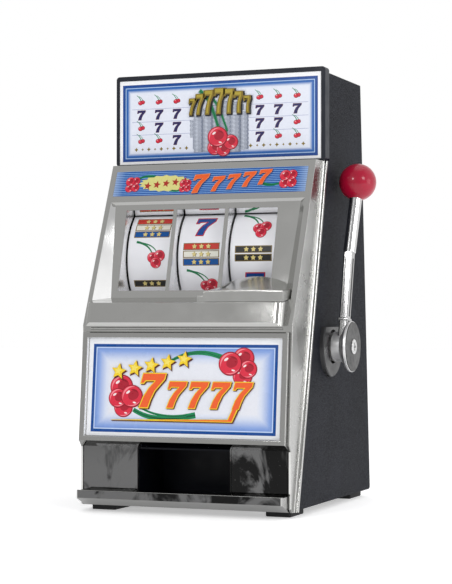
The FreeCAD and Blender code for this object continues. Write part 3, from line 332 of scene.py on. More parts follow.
def tunnel_mask(m):
    """1 behind the reel panel's front face, between its outer windows and below their tops, else 0."""
    axes = m.node("ShaderNodeSeparateXYZ", Vector=m.place())
    plane = m.math("ADD", m.math("MULTIPLY", axes.outputs["Z"], PANEL_LEAN), PANEL_AT_FLOOR * MM)
    behind = m.math("GREATER_THAN", m.math("SUBTRACT", axes.outputs["Y"], plane), PANEL_SKIN * MM)
    from_middle = m.math("ABSOLUTE", m.math("SUBTRACT", axes.outputs["X"], WINDOW_MIDDLE * MM))
    within = m.math("LESS_THAN", from_middle, WINDOW_REACH * MM)
    low_enough = m.math("LESS_THAN", axes.outputs["Z"], WINDOW_TOP * MM)
    return m.math("MULTIPLY", m.math("MULTIPLY", behind, within), low_enough)


def vinyl(name):
    """Black leather-grained vinyl: pebbled cells with painted shade that darkens the creases between them
    and lightens the tops, and rubbed, smoother tops.
    """
    m = Shader(name, rgb(20, 20, 24), Specular_IOR_Level=0.1)
    cells = m.node("ShaderNodeTexVoronoi", {"feature": "DISTANCE_TO_EDGE"}, Scale=VINYL_CELLS,
                   Vector=m.place()).outputs["Distance"]
    pebble = m.spread(cells, 0.0, 0.28, 0.0, 1.0)
    grain = m.noise(1500.0, 3.0, 0.6)
    height = m.math("ADD", pebble, m.math("MULTIPLY", grain, 0.45))
    patch = m.noise(22.0, 4.0)
    # painted shade: the creases between pebbles are darker and the pebble tops lighter
    color = m.mix(pebble, rgb(12, 13, 17), rgb(34, 36, 43))
    color = m.mix(m.spread(patch, 0.3, 0.7, 0.0, 0.4), color, rgb(40, 42, 50))
    rough = m.math("ADD", m.spread(pebble, 0.0, 1.0, 0.72, 0.56), m.spread(grain, 0.3, 0.7, -0.05, 0.07))
    return m.set(Base_Color=color, Roughness=rough, Normal=m.bump(height, 0.00012, 0.8))


def moulded(name, color, rough=0.45, grain=900.0, depth=0.00003, specular=0.5):
    """Moulded plastic with fine spark texture, faint flow clouding and handling marks."""
    m = Shader(name, color, Specular_IOR_Level=specular)
    cloud = m.noise(28.0, 5.0)
    darker = tuple(c * 0.78 for c in color[:3]) + (1.0,)
    lighter = tuple(min(1.0, c * 1.18 + 0.004) for c in color[:3]) + (1.0,)
    fine = m.noise(grain, 3.0, 0.6)
    return m.set(Base_Color=m.mix(cloud, darker, lighter),
                 Roughness=m.spread(m.noise(70.0, 6.0), 0.3, 0.7, rough - 0.08, rough + 0.1),
                 Normal=m.bump(fine, depth, 0.7))


def steel(name, tone=0.62, rough=0.28, along=(1, 60, 60)):
    """Bright steel with fine lines drawn along one axis."""
    m = Shader(name, shade(tone), Metallic=1.0)
    lines = m.noise(55.0, 5.0, 0.7, along)
    blotch = m.noise(40.0, 4.0)
    color = m.mix(blotch, shade(tone * 0.85), shade(min(1.0, tone * 1.1)))
    return m.set(Base_Color=color, Roughness=m.spread(lines, 0.3, 0.7, rough - 0.1, rough + 0.12),
                 Normal=m.bump(lines, 0.00002, 0.6))


def hub_metal(name, rough, tone, face_x=None):
    """Plated lever metal with a soft turned grain; beyond face_x, in mm, it is a darker brushed face."""
    m = Shader(name, shade(tone), Metallic=1.0)
    grain = m.noise(240.0, 5.0, 0.65, (8, 1, 1))
    spots = m.math("GREATER_THAN", m.noise(420.0, 2.0, 0.7), SPOT_LIMIT)
    color = m.mix(spots, m.mix(m.noise(25.0), shade(tone * 0.88), shade(tone * 1.08)), shade(0.2))
    gloss = m.spread(grain, 0.3, 0.7, rough * 0.7, rough * 1.3)
    if face_x is not None:
        axes = m.node("ShaderNodeSeparateXYZ", Vector=m.place())
        face = m.math("GREATER_THAN", axes.outputs["X"], face_x * MM)
        scratches = m.noise(90.0, 6.0, 0.75, (1, 9, 1))
        smudge = m.spread(m.noise(46.0, 4.0, 0.6), 0.45, 0.62, 0.0, 0.7)
        dull = m.mix(scratches, shade(0.05), shade(0.10))
        dull = m.mix(smudge, dull, shade(0.03))
        color = m.mix(face, color, dull)
        gloss = m.math("SUBTRACT", gloss, m.math("MULTIPLY", face, 0.05))
    return m.set(Base_Color=color, Roughness=gloss, Normal=m.bump(grain, 0.00002, 0.3))


def knob_lacquer(name):
    """Polished dark red ball with a clear coat and faint orange peel."""
    m = Shader(name, rgb(150, 10, 34), Coat_Weight=0.45, Coat_Roughness=0.07, Roughness=0.4,
               Specular_IOR_Level=0.2)
    deep = m.mix(m.noise(60.0, 4.0), rgb(152, 8, 40), rgb(174, 14, 52))
    scuff = m.spread(m.noise(480.0, 5.0, 0.7), 0.4, 0.8, 0.3, 0.5)
    return m.set(Base_Color=deep, Roughness=scuff, Normal=m.bump(m.noise(210.0, 2.0), 0.00002, 0.4))


def ink(name, color, rough=0.32):
    """Printed ink: slight mottle in the colour and in the sheen."""
    m = Shader("ink_" + name, color, Coat_Weight=0.1, Coat_Roughness=0.12, Specular_IOR_Level=0.3)
    darker = tuple(c * 0.86 for c in color[:3]) + (1.0,)
    mottle = m.noise(700.0, 3.0, 0.6)
    return m.set(Base_Color=m.mix(mottle, darker, color),
                 Roughness=m.spread(mottle, 0.3, 0.7, rough - 0.06, rough + 0.08))


def bordered(name, half_wide, low, high, stops, rough=0.28):
    """Printed panel whose colour depends on the distance, in mm, inside a rectangle's edge."""
    reach = stops[-1][0]
    m = Shader(name, shade(0.85), Coat_Weight=0.15, Coat_Roughness=0.06, Specular_IOR_Level=0.3)
    axes = m.node("ShaderNodeSeparateXYZ", Vector=m.place())
    middle = (low + high) / 2
    across = m.math("ABSOLUTE", m.math("SUBTRACT", m.math("DIVIDE", axes.outputs["X"], MM), CENTRE_X))
    upward = m.math("ABSOLUTE", m.math("SUBTRACT", m.math("DIVIDE", axes.outputs["Z"], MM), middle))
    side = m.math("SUBTRACT", half_wide, across)
    end = m.math("SUBTRACT", (high - low) / 2, upward)
    inside = m.math("SMOOTH_MIN", side, end)
    inside.node.inputs[2].default_value = PRINT_CORNER
    place = m.spread(inside, -PRINT_MARGIN, reach, 0.0, 1.0)
    span = reach + PRINT_MARGIN
    color = m.ramp(place, [((distance + PRINT_MARGIN) / span, rgb(*color)) for distance, color in stops])
    mottle = m.noise(500.0, 3.0)
    color = m.mix(m.spread(mottle, 0.3, 0.8, 0.0, 0.06), color, rgb(120, 130, 150))
    sheen = m.spread(m.noise(45.0, 5.0), 0.3, 0.7, rough - 0.08, rough + 0.1)
    return m.set(Base_Color=color, Roughness=sheen, Normal=m.bump(m.noise(60.0, 2.0), 0.00005, 0.25))


def striped(name):
    """Marquee print: thin pale lines across a blue ground, fading at the two ends."""
    m = Shader(name, rgb(60, 110, 180), Coat_Weight=0.1, Coat_Roughness=0.08, Specular_IOR_Level=0.3)
    axes = m.node("ShaderNodeSeparateXYZ", Vector=m.place())
    wobble = m.math("MULTIPLY", m.noise(60.0, 2.0, 0.5), STRIPE_WOBBLE)
    height = m.math("ADD", axes.outputs["Z"], wobble)
    phase = m.math("FRACT", m.math("DIVIDE", height, STRIPE_PITCH))
    wave = m.math("ABSOLUTE", m.math("SUBTRACT", phase, 0.5))
    color = m.ramp(m.math("MULTIPLY", wave, 2.0), [
        (0.0, rgb(170, 204, 240)), (0.14, rgb(140, 182, 228)),
        (0.3, rgb(46, 104, 180)), (1.0, rgb(20, 72, 150))])
    across = m.math("ABSOLUTE", m.math("SUBTRACT", m.math("DIVIDE", axes.outputs["X"], MM), CENTRE_X))
    fade = m.spread(across, 80.0, 89.0, 0.0, 0.35)
    fade = m.math("MINIMUM", fade, 0.35)
    color = m.mix(fade, color, rgb(205, 224, 246))
    return m.set(Base_Color=color, Roughness=m.spread(m.noise(45.0, 5.0), 0.3, 0.7, 0.2, 0.36),
                 Normal=m.bump(m.noise(60.0, 2.0), 0.00005, 0.25))


def strip_paper(name):
    """Reel strip: white coated paper with faint fibre and handling tone."""
    m = Shader(name, rgb(240, 241, 246), Coat_Weight=0.15, Coat_Roughness=0.2)
    fibre = m.noise(800.0, 5.0, 0.7)
    color = m.mix(m.noise(30.0, 4.0), rgb(232, 233, 240), rgb(247, 247, 250))
    return m.set(Base_Color=color, Roughness=m.spread(fibre, 0.3, 0.7, 0.34, 0.5),
                 Normal=m.bump(fibre, 0.00001, 0.4))


# ---------------------------------------------------------------- frame measures, in mm
def low_high(node):
    low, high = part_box(node)
    return low / MM, high / MM


CENTRE_X = sum(v.x for v in low_high("cabinet_shell")) / 2
WINDOW_MIDDLE = sum(v.x for v in low_high("reel_strip_2")) / 2
SIGN_LOW, SIGN_HIGH = low_high("sign_panel")
MARQUEE_LOW, MARQUEE_HIGH = low_high("marquee_label")
LABEL_LOW, LABEL_HIGH = low_high("belly_label")


def sign_place(across, up, lift):
    """A point on the sign: millimetres right of the middle, and above the panel's lower edge."""
    return Vector((CENTRE_X + across, SIGN_LOW.y - lift, SIGN_LOW.z + up))


def tilted_place(low, high, thick):
    """Placer for a printed slab that leans back between its box's lower front and upper back edges."""
    rise = high.z - low.z
    lean = (high.y - thick - low.y) / rise
    length = math.hypot(1.0, lean)

    def place(across, up, lift):
        return Vector((CENTRE_X + across, low.y + up * lean - lift / length,
                       low.z + up + lift * lean / length))
    return place


marquee_place = tilted_place(MARQUEE_LOW, MARQUEE_HIGH, MARQUEE_THICK)
belly_place = tilted_place(LABEL_LOW, LABEL_HIGH, LABEL_THICK)


def reel_measures(index):
    """Middle, radius and half width of a reel strip."""
    low, high = low_high("reel_strip_%d" % (index + 1))
    return (low + high) / 2, (high.z - low.z) / 2, (high.x - low.x) / 2


def reel_place(index):
    """Placer for art wrapped round a reel: up is the arc length above the reel's front."""
    middle, radius, _ = reel_measures(index)

    def place(across, up, lift):
        angle = up / radius
        out = radius + lift
        return Vector((middle.x + across, middle.y - out * math.cos(angle),
                       middle.z + out * math.sin(angle)))
    return place


# ---------------------------------------------------------------- flat art
class Art:
    """Outlines gathered by ink for one surface."""

    def __init__(self):
        self.inks = {}

    def add(self, ink_name, level, outline):
        self.inks.setdefault(ink_name, []).append((outline, level))

    def shift(self, dx, dy, scale=1.0, turn=0.0, up=0):
        """A moved, scaled and turned copy, raised by whole levels."""
        c, s = math.cos(math.radians(turn)) * scale, math.sin(math.radians(turn)) * scale
        copy = Art()
        for name, outlines in self.inks.items():
            for outline, level in outlines:
                copy.add(name, level + up, [(dx + x * c - y * s, dy + x * s + y * c) for x, y in outline])
        return copy

    def join(self, other):
        for name, outlines in other.inks.items():
            self.inks.setdefault(name, []).extend(outlines)


def oval(x, y, wide, tall, turn=0.0, count=28):
    c, s = math.cos(math.radians(turn)), math.sin(math.radians(turn))
    points = []
    for step in range(count):
        a = 2 * math.pi * step / count
        px, py = wide * math.cos(a), tall * math.sin(a)
        points.append((x + px * c - py * s, y + px * s + py * c))
    return points


def arc_band(x, y, radius, start, end, thick, count=14):
    """A crescent that is thickest in the middle of its arc."""
    outer, inner = [], []
    for step in range(count + 1):
        t = step / count
        a = math.radians(start + (end - start) * t)
        slim = thick * math.sin(math.pi * t)
        outer.append((x + radius * math.cos(a), y + radius * math.sin(a)))
        if 0 < step < count:
            inner.append((x + (radius - slim) * math.cos(a), y + (radius - slim) * math.sin(a)))
    return outer + inner[::-1]


def block(x0, x1, y0, y1, slant=0.0):
    return [(x0 + y0 * slant, y0), (x1 + y0 * slant, y0), (x1 + y1 * slant, y1), (x0 + y1 * slant, y1)]


def star(x, y, radius, points=5, inner=0.42, turn=90.0):
    outline = []
    for step in range(points * 2):
        r = radius if step % 2 == 0 else radius * inner
        a = math.radians(turn + 180.0 * step / points)
        outline.append((x + r * math.cos(a), y + r * math.sin(a)))
    return outline


def ribbon(path, widths, steps=16):
    """A tapering band along a Bezier curve of three or four points."""
    left, right = [], []
    for step in range(steps + 1):
        t = step / steps
        level = [Vector(p) for p in path]
        while len(level) > 2:
            level = [a.lerp(b, t) for a, b in zip(level, level[1:])]
        spot = level[0].lerp(level[1], t)
        along = (level[1] - level[0]).normalized()
        half = (widths[0] + (widths[1] - widths[0]) * t) / 2
        left.append((spot.x - along.y * half, spot.y + along.x * half))
        right.append((spot.x + along.y * half, spot.y - along.x * half))
    return left + right[::-1]


def grow(outline, amount):
    """The outline moved outwards by an amount, corner by corner."""
    area = sum(a[0] * b[1] - b[0] * a[1] for a, b in zip(outline, outline[1:] + outline[:1]))
    sign = 1.0 if area > 0 else -1.0
    grown = []
    for index, point in enumerate(outline):
        before = Vector(outline[index - 1])
        after = Vector(outline[(index + 1) % len(outline)])
        here = Vector(point)
        first = (here - before).normalized()
        second = (after - here).normalized()
        normal_a = Vector((first.y, -first.x)) * sign
        normal_b = Vector((second.y, -second.x)) * sign
        middle = normal_a + normal_b
        reach = 2.0 * amount / max(middle.length_squared, 0.8)
        grown.append(tuple(here + middle * reach))
    return grown


def seven(height, slant=0.16, wide=1.0):
    """A plain slab numeral seven, centred on its middle."""
    h = height
    raw = [(-0.36, 0.5), (-0.36, 0.22), (-0.28, 0.22), (-0.24, 0.30), (0.10, 0.30), (-0.06, 0.06),
           (-0.16, -0.2), (-0.20, -0.5), (0.06, -0.5), (0.08, -0.26), (0.14, 0.0), (0.36, 0.34), (0.36, 0.5)]
    return [(x * h * wide + y * h * slant, y * h) for x, y in raw]


def seven_art(height, face, edge, edge_width, slant=0.16, shadow=None, drop=(0.0, 0.0), wide=1.0):
    art = Art()
    outline = seven(height, slant, wide)
    if shadow:
        moved = [(x + drop[0], y + drop[1]) for x, y in outline]
        art.add(shadow, 0, grow(moved, edge_width))
    art.add(edge, 1, grow(outline, edge_width))
    art.add(face, 2, outline)
    return art


def cherry_art(radius):
    """One printed cherry: dark rim, red flesh, a deep inner shade and two pale highlights."""
    art = Art()
    r = radius
    art.add("cherry_dark", 0, oval(0, 0, r, r * 0.95))
    art.add("cherry_red", 1, oval(-0.03 * r, 0.02 * r, r * 0.93, r * 0.87))
    art.add("cherry_pink", 2, arc_band(-0.02 * r, 0.0, r * 0.84, 70, 200, r * 0.15))
    art.add("cherry_pink", 2, arc_band(0.0, 0.02 * r, r * 0.84, 240, 330, r * 0.1))
    art.add("cherry_deep", 2, oval(0.14 * r, 0.1 * r, r * 0.5, r * 0.4, 24))
    art.add("cherry_dark", 3, arc_band(0.12 * r, 0.08 * r, r * 0.52, 20, 120, r * 0.16))
    art.add("cherry_shine", 4, oval(-0.36 * r, 0.34 * r, r * 0.2, r * 0.1, 34, 14))
    art.add("cherry_shine", 4, oval(0.26 * r, -0.52 * r, r * 0.16, r * 0.07, -14, 14))
    return art


def cluster_art(radius, places):
    """Overlapping cherries, with later ones over earlier ones."""
    art = Art()
    for order, (x, y, size) in enumerate(places):
        art.join(cherry_art(radius * size).shift(x * radius, y * radius, up=order * CHERRY_LEVELS))
    return art


def leaf_stem(path, widths, level):
    """Green stem with a darker core line."""
    art = Art()
    art.add("leaf", level, ribbon(path, widths))
    art.add("leaf_dark", level + 1, ribbon(path, (widths[0] * 0.3, widths[1] * 0.3)))
    return art


def reel_cherry():
    """Bunch of three on a long curved stem, as wide as a reel symbol."""
    art = Art()
    art.join(leaf_stem([(-13.5, 11.5), (-6.0, 10.5), (0.5, 6.5), (2.6, -0.5)], (2.2, 0.9), 0))
    art.join(leaf_stem([(-9.0, 10.6), (0.0, 9.4), (5.4, 5.5), (6.4, 1.0)], (1.2, 0.8), 0))
    bunch = cluster_art(5.3, [(0.1, -0.2, 0.95), (1.3, 0.1, 1.0), (0.65, -1.05, 0.95)])
    art.join(bunch.shift(1.9, -1.4, up=2))
    return art


def bar_art(y, face, mark):
    """One reel bar: gold edge, coloured face and a row of three small stars."""
    art = Art()
    half, low, high = BAR_WIDE / 2, y - BAR_TALL / 2, y + BAR_TALL / 2
    art.add("gold_dark", 0, block(-half, half, low, high))
    art.add(face, 1, block(-half + 0.8, half - 0.8, low + 0.7, high - 0.7))
    for step in (-1, 0, 1):
        x = step * BAR_STAR_PITCH
        art.add("bar_shadow", 2, star(x + 0.35, y - 0.2, 2.5, 5, 0.55))
        art.add(mark, 3, star(x, y, 2.4, 5, 0.55))
    return art


BARS = {
    "triple": ((BAR_GAPS[0], "bar_red", "gold"), (0.0, "bar_white", "gold_pale"),
               (-BAR_GAPS[0], "bar_blue", "gold")),
    "double": ((BAR_GAPS[1], "bar_black", "gold"), (-BAR_GAPS[1], "bar_black", "gold")),
    "single": ((0.0, "bar_black", "gold"),),
}


def reel_symbol(kind):
    if kind == "cherry":
        return reel_cherry()
    if kind == "seven":
        return seven_art(16.6, "reel_blue", "seven_red", 0.95, wide=1.35)
    art = Art()
    for y, face, mark in BARS[kind]:
        art.join(bar_art(y, face, mark))
    return art


SIDES = ("left", "middle", "right")
REEL_ORDER = (
    ("cherry", "triple", "seven", "double", "cherry", "single", "triple",
     "seven", "single", "cherry", "double", "seven", "single"),
    ("triple", "seven", "single", "cherry", "double", "seven", "triple",
     "cherry", "single", "seven", "double", "triple", "cherry"),
    ("double", "cherry", "single", "triple", "seven", "cherry", "double",
     "seven", "single", "cherry", "triple", "double", "seven"),
)


def mesh_piece(name, bm, material):
    """Turn finished geometry into an object in the scene."""
    mesh = bpy.data.meshes.new(name)
    bm.to_mesh(mesh)
    bm.free()
    piece = bpy.data.objects.new(name, mesh)
    bpy.context.scene.collection.objects.link(piece)
    mesh.materials.append(material)
    return piece


def print_art(art, name, place, body, cut=None):
    """Make one mesh for each ink; cut is the spacing of extra cuts along up, for a curved surface."""
    for ink_name, outlines in art.inks.items():
        bm = bmesh.new()
        for outline, level in outlines:
            height = BASE_LIFT + LEVEL * level
            corners = [bm.verts.new((x, y, height)) for x, y in outline]
            face = bm.faces.new(corners)
            face.normal_update()
            if face.normal.z < 0:
                face.normal_flip()
        bmesh.ops.triangulate(bm, faces=bm.faces[:])
        if cut:
            ups = [v.co.y for v in bm.verts]
            line = math.floor(min(ups) / cut) * cut
            while line < max(ups):
                bmesh.ops.bisect_plane(bm, geom=bm.verts[:] + bm.edges[:] + bm.faces[:],
                                       plane_co=(0, line, 0), plane_no=(0, 1, 0))
                line += cut
        for vert in bm.verts:
            vert.co = place(vert.co.x, vert.co.y, vert.co.z) * MM
        piece = mesh_piece(name + "_" + ink_name, bm, INKS[ink_name])
        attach(piece, body)


def reel_art(index):
    _, radius, edge = reel_measures(index)
    art = Art()
    around = 2 * math.pi * radius
    pitch = around / REEL_STOPS
    phase = math.radians(REEL_PHASE) * radius
    for stop, kind in enumerate(REEL_ORDER[index]):
        art.join(reel_symbol(kind).shift(0, phase + stop * pitch))
    for x0, x1 in ((-edge, -edge + REEL_LINE), (edge - REEL_LINE, edge)):
        art.add("line_black", 0, block(x0, x1, 0, around))
    print_art(art, "reel_art_%d" % (index + 1), reel_place(index), "reel_" + SIDES[index],
              REEL_CUT)


# ---------------------------------------------------------------- sign art
def small_cherry():
    art = Art()
    art.add("leaf", 0, ribbon([(-4.2, 6.4), (-1.6, 5.0), (0.2, 1.2)], (0.5, 0.7)))
    art.add("leaf", 0, ribbon([(-2.0, 5.4), (0.8, 4.4), (1.8, 1.0)], (0.4, 0.5)))
    art.add("cherry_dark", 1, oval(-0.6, -0.4, 2.3, 2.0))
    art.add("cherry_dark", 1, oval(1.8, 0.2, 1.9, 1.8))
    art.add("cherry_red", 2, oval(-0.7, -0.3, 1.8, 1.5))
    art.add("cherry_red", 2, oval(1.8, 0.3, 1.4, 1.3))
    art.add("cherry_shine", 3, oval(-1.3, 0.4, 0.45, 0.25, 30, 10))
    return art


def sign_symbols():
    """The two small tables of cherries and sevens, with thin rules and a row of small stars below."""
    art = Art()
    marks = {"C": small_cherry(), "S": seven_art(8.2, "navy", "plum", 0.3, 0.14, wide=1.25)}
    for rows, first_x, rule, first_star in SIGN_SIDES:
        for row, kinds in zip(SIGN_ROWS, rows):
            for column, kind in enumerate(kinds):
                art.join(marks[kind].shift(first_x + column * SIGN_COLUMN_PITCH, row))
        for row in SIGN_ROWS[1:]:
            art.add("rule", 0, block(*rule, row - 6.2, row - 5.9))
        for step in range(SIGN_STAR_COUNT):
            tall = 1.9 if step % 2 == 0 else 1.2
            art.add("gold_deep", 0, star(first_star + step * SIGN_STAR_PITCH, SIGN_STAR_UP, tall, 4, 0.5))
    return art


def coin_stack(x, low, high, wide):
    """A column of silver coins seen from slightly above, each a little out of line."""
    art = Art()
    groove = 0.4
    count = int((high - low) / COIN_PITCH)
    for step in range(count):
        y = low + step * COIN_PITCH
        top = y + COIN_PITCH
        mid = x + 0.3 * math.sin(step * 1.9 + x)
        art.add("silver", 2, block(mid - wide, mid + wide, y + groove, top))
        art.add("silver_dark", 2, block(mid - wide, mid + wide, y, y + groove))
        art.add("silver_light", 3, block(mid - wide * 0.6, mid - wide * 0.1, y + 0.45, top - 0.1))
        art.add("silver_dark", 3, block(mid + wide * 0.62, mid + wide, y + groove, top))
    art.add("silver_dark", 4, oval(x, high, wide, wide * 0.28))
    art.add("silver_light", 5, oval(x, high + 0.2, wide * 0.86, wide * 0.2))
    return art


def arch_height(x):
    """Height of the arch of gold numerals, tallest just right of the middle."""
    t = (x - ARCH_MIDDLE) / ARCH_HALF
    return ARCH_TALLEST - ARCH_DROP * t * t


def sign_centre():
    """Coin stacks, a bunch of cherries with its leaves, and the arch of gold numerals over them."""
    art = Art()
    art.add("silver_mid", 0, block(-24.0, 26.6, 12.0, 38.0))
    art.add("silver_mid", 1, block(-3.0, 24.0, 12.0, 49.0))
    for order, stack in enumerate(COIN_STACKS):
        art.join(coin_stack(*stack).shift(0, 0, up=order * 4))
    for leaf in SIGN_LEAVES:
        art.join(leaf_stem(*leaf))
    art.join(cluster_art(1.0, SIGN_BUNCH).shift(0, 0, up=SIGN_BUNCH_LEVEL))
    for x in ARCH_X:
        tall = arch_height(x)
        lean = -0.004 * (x - ARCH_MIDDLE)
        outline = [(x + px * 0.62 + py * lean, ARCH_LOW + tall / 2 + py) for px, py in seven(tall, 0.0)]
        art.add("line_black", ARCH_LEVEL, grow([(px + 1.0, py - 0.8) for px, py in outline], 1.0))
        art.add("gold_deep", ARCH_LEVEL + 1, grow(outline, 0.45))
        core = [(x + (px - x) * 0.86 - 0.2, py + 0.25) for px, py in outline]
        art.add("gold_bright", ARCH_LEVEL + 2, grow(core, -0.55))
    return art


# ---------------------------------------------------------------- marquee and belly art
def marquee_art():
    """Three bunches of cherries, a pale burst with dark red stars, and a row of orange sevens."""
    art = Art()
    for leaf in MARQUEE_LEAVES:
        art.join(leaf_stem(*leaf))
    x_mid, y_mid = BURST_MIDDLE
    burst = star(x_mid, y_mid, 25.0, 17, 0.86)
    art.add("burst", 2, [(x, y_mid + (y - y_mid) * BURST_FLAT) for x, y in burst])
    for step in range(5):
        art.add("maroon", 3, star(-57.0 + step * 8.6, 8.6 + step * 0.9, 3.7, 5, 0.45, 82.0))
    bunch = cluster_art(4.1, MARQUEE_BUNCH)
    for across, up, scale in MARQUEE_BUNCHES:
        art.join(bunch.shift(across, up, scale, up=LABEL_BUNCH_LEVEL))
    numeral = seven_art(15.5, "orange", "orange_pale", 0.5, 0.3, "blue_shadow", (0.5, -0.5), wide=1.15)
    art.join(numeral.shift(-8.5, 9.2, 1.0, 3.0, up=MARQUEE_TOP_LEVEL))
    for step in range(4):
        art.join(numeral.shift(8.0 + step * 14.0, 8.6 + step * 1.6, 0.8, 3.0, up=MARQUEE_TOP_LEVEL))
    return art


def belly_stars():
    """A rising row of five yellow stars with brown shadows."""
    art = Art()
    for step in range(5):
        x = -58.5 + step * 14.8
        y = 53.6 + step * 2.6
        art.add("shadow_brown", BELLY_TOP_LEVEL, star(x + 0.9, y - 1.0, 7.6, 5, 0.46, 82.0))
        art.add("yellow", BELLY_TOP_LEVEL + 1, star(x, y, 7.1, 5, 0.46, 82.0))
        art.add("yellow_pale", BELLY_TOP_LEVEL + 2, star(x - 0.4, y + 0.5, 3.6, 5, 0.46, 82.0))
    return art


def belly_swoosh():
    """The long pointed stroke that runs back under the row of sevens."""
    art = Art()
    tail = [(45.4, 25.6), (50.6, 25.6), (44.8, 13.0), (-64.0, 13.2), (-64.0, 13.5), (40.6, 15.4)]
    core = [(46.4, 26.6), (49.8, 26.6), (44.2, 13.6), (-20.0, 13.7), (-20.0, 14.0), (41.3, 14.9)]
    art.add("shadow_brown", BELLY_TOP_LEVEL, [(x + 0.9, y - 0.8) for x, y in grow(tail, 0.15)])
    art.add("yellow", BELLY_TOP_LEVEL + 1, tail)
    art.add("orange", BELLY_TOP_LEVEL + 4, core)
    return art


def belly_art():
    art = Art()
    for leaf in BELLY_LEAVES:
        art.join(leaf_stem(*leaf))
    for bunch in BELLY_BUNCHES:
        art.join(cluster_art(1.0, bunch).shift(0, 0, up=LABEL_BUNCH_LEVEL))
    art.join(belly_stars())
    numeral = seven_art(28.0, "orange", "yellow", 0.8, 0.26, "shadow_brown", (1.0, -0.9))
    art.join(numeral.shift(-29.0, 38.0, up=BELLY_TOP_LEVEL))
    for step in range(4):
        art.join(numeral.shift(-6.5 + step * 19.4, 34.8, 0.77, up=BELLY_TOP_LEVEL))
    art.join(belly_swoosh())
    return art


# ---------------------------------------------------------------- built pieces
def spring_coil():
    """Wound torsion spring round the lever shaft, in place of its plain ring."""
    low, high = low_high("lever_spring")
    middle = (low + high) / 2
    radius = (high.z - low.z) / 2 - 0.7
    count = SPRING_TURNS * SPRING_STEPS
    curve = bpy.data.curves.new("return_spring", "CURVE")
    curve.dimensions = "3D"
    curve.bevel_depth = SPRING_WIRE * MM
    curve.bevel_resolution = 3
    spline = curve.splines.new("POLY")
    spline.points.add(count)
    for step in range(count + 1):
        a = 2 * math.pi * step / SPRING_STEPS
        x = low.x + 0.5 + (high.x - low.x - 1.0) * step / count
        spline.points[step].co = (x * MM, (middle.y + radius * math.cos(a)) * MM,
                                  (middle.z + radius * math.sin(a)) * MM, 1.0)
    coil = bpy.data.objects.new("return_spring", curve)
    bpy.context.scene.collection.objects.link(coil)
    curve.materials.append(SPRING_STEEL)
    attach(coil, "cabinet")
    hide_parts("lever_spring")


def window_shadow_strips():
    """Thin black strip of painted shadow at the inner edge of each window tunnel's ceiling, where it meets
    the reel.
    """
    for index, side in enumerate(SIDES):
        middle, reel_radius, _ = reel_measures(index)
        near = reel_radius + SHADOW_STRIP_GAP
        far = near + SHADOW_STRIP_THICK
        low_turn, high_turn = SHADOW_STRIP_ANGLE, SHADOW_STRIP_ANGLE + SHADOW_STRIP_SPAN
        bm = bmesh.new()
        rows = []
        for reach, turn in ((near, low_turn), (near, high_turn), (far, high_turn), (far, low_turn)):
            angle = math.radians(turn)
            y = middle.y - reach * math.cos(angle)
            z = middle.z + reach * math.sin(angle)
            rows.append([bm.verts.new(Vector((middle.x + x, y, z)) * MM)
                         for x in (-SHADOW_STRIP_HALF, SHADOW_STRIP_HALF)])
        for first, second in zip(rows, rows[1:] + rows[:1]):
            bm.faces.new((first[0], first[1], second[1], second[0]))
        for end in (0, 1):
            bm.faces.new([row[end] for row in rows])
        bmesh.ops.recalc_face_normals(bm, faces=bm.faces[:])
        # painted shadow: a black sliver stands where the gap under the tunnel ceiling would lie in shade
        piece = mesh_piece("window_shadow_strip_" + side, bm, moulded("shadow_strip_black", rgb(12, 12, 13), 0.5))
        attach(piece, "cabinet")


# ---------------------------------------------------------------- stage
def floor():
    """A pale sweep that the machine stands on."""
    m = Shader("floor_paper", rgb(246, 246, 247), Emission_Color=shade(1.0), Emission_Strength=FLOOR_GLOW)
    cloud = m.mix(m.noise(3.0, 3.0), rgb(244, 244, 245), rgb(250, 250, 251))
    toward_front = m.node("ShaderNodeSeparateXYZ", Vector=m.place()).outputs["Y"]
    fade = m.spread(toward_front, *FLOOR_FADE, 0.0, 1.0)
    m.set(Base_Color=m.mix(fade, shade(0.72), cloud), Emission_Color=m.mix(fade, shade(0.0), shade(1.0)),
          Roughness=0.7)
    bm = bmesh.new()
    bm.faces.new([bm.verts.new((x * FLOOR_REACH, y * FLOOR_REACH, 0.0))
                  for x, y in ((-1, -1), (1, -1), (1, 1), (-1, 1))])
    mesh_piece("floor", bm, m.material)


def surroundings():
    """Studio: bright behind and at the sides, greyer ahead of the machine, so that plating has tone."""
    world = bpy.data.worlds.new("studio")
    bpy.context.scene.world = world
    world.use_nodes = True
    tree = world.node_tree
    tree.nodes.clear()
    coords = tree.nodes.new("ShaderNodeTexCoord")
    ramp = tree.nodes.new("ShaderNodeValToRGB")
    back = tree.nodes.new("ShaderNodeBackground")
    out = tree.nodes.new("ShaderNodeOutputWorld")
    toward = tree.nodes.new("ShaderNodeVectorMath")
    toward.operation = "DOT_PRODUCT"
    toward.inputs[1].default_value = STUDIO_AIM
    tree.links.new(coords.outputs["Generated"], toward.inputs[0])
    spread = tree.nodes.new("ShaderNodeMapRange")
    spread.inputs["From Min"].default_value = -1.0
    tree.links.new(toward.outputs["Value"], spread.inputs["Value"])
    tree.links.new(spread.outputs[0], ramp.inputs["Fac"])
    while len(ramp.color_ramp.elements) < len(STUDIO_TONES):
        ramp.color_ramp.elements.new(1.0)
    for element, (position, tone) in zip(ramp.color_ramp.elements, STUDIO_TONES):
        element.position = position
        element.color = shade(tone)
    tree.links.new(ramp.outputs["Color"], back.inputs["Color"])
    back.inputs["Strength"].default_value = 1.0
    tree.links.new(back.outputs[0], out.inputs["Surface"])


def softbox(name, place, size, watts):
    light = bpy.data.lights.new(name, "AREA")
    light.shape = "RECTANGLE"
    light.size, light.size_y = size
    light.energy = watts
    holder = bpy.data.objects.new(name, light)
    holder.location = place
    toward = Vector(LIGHT_TARGET) - Vector(place)
    holder.rotation_euler = toward.to_track_quat("-Z", "Y").to_euler()
    bpy.context.scene.collection.objects.link(holder)


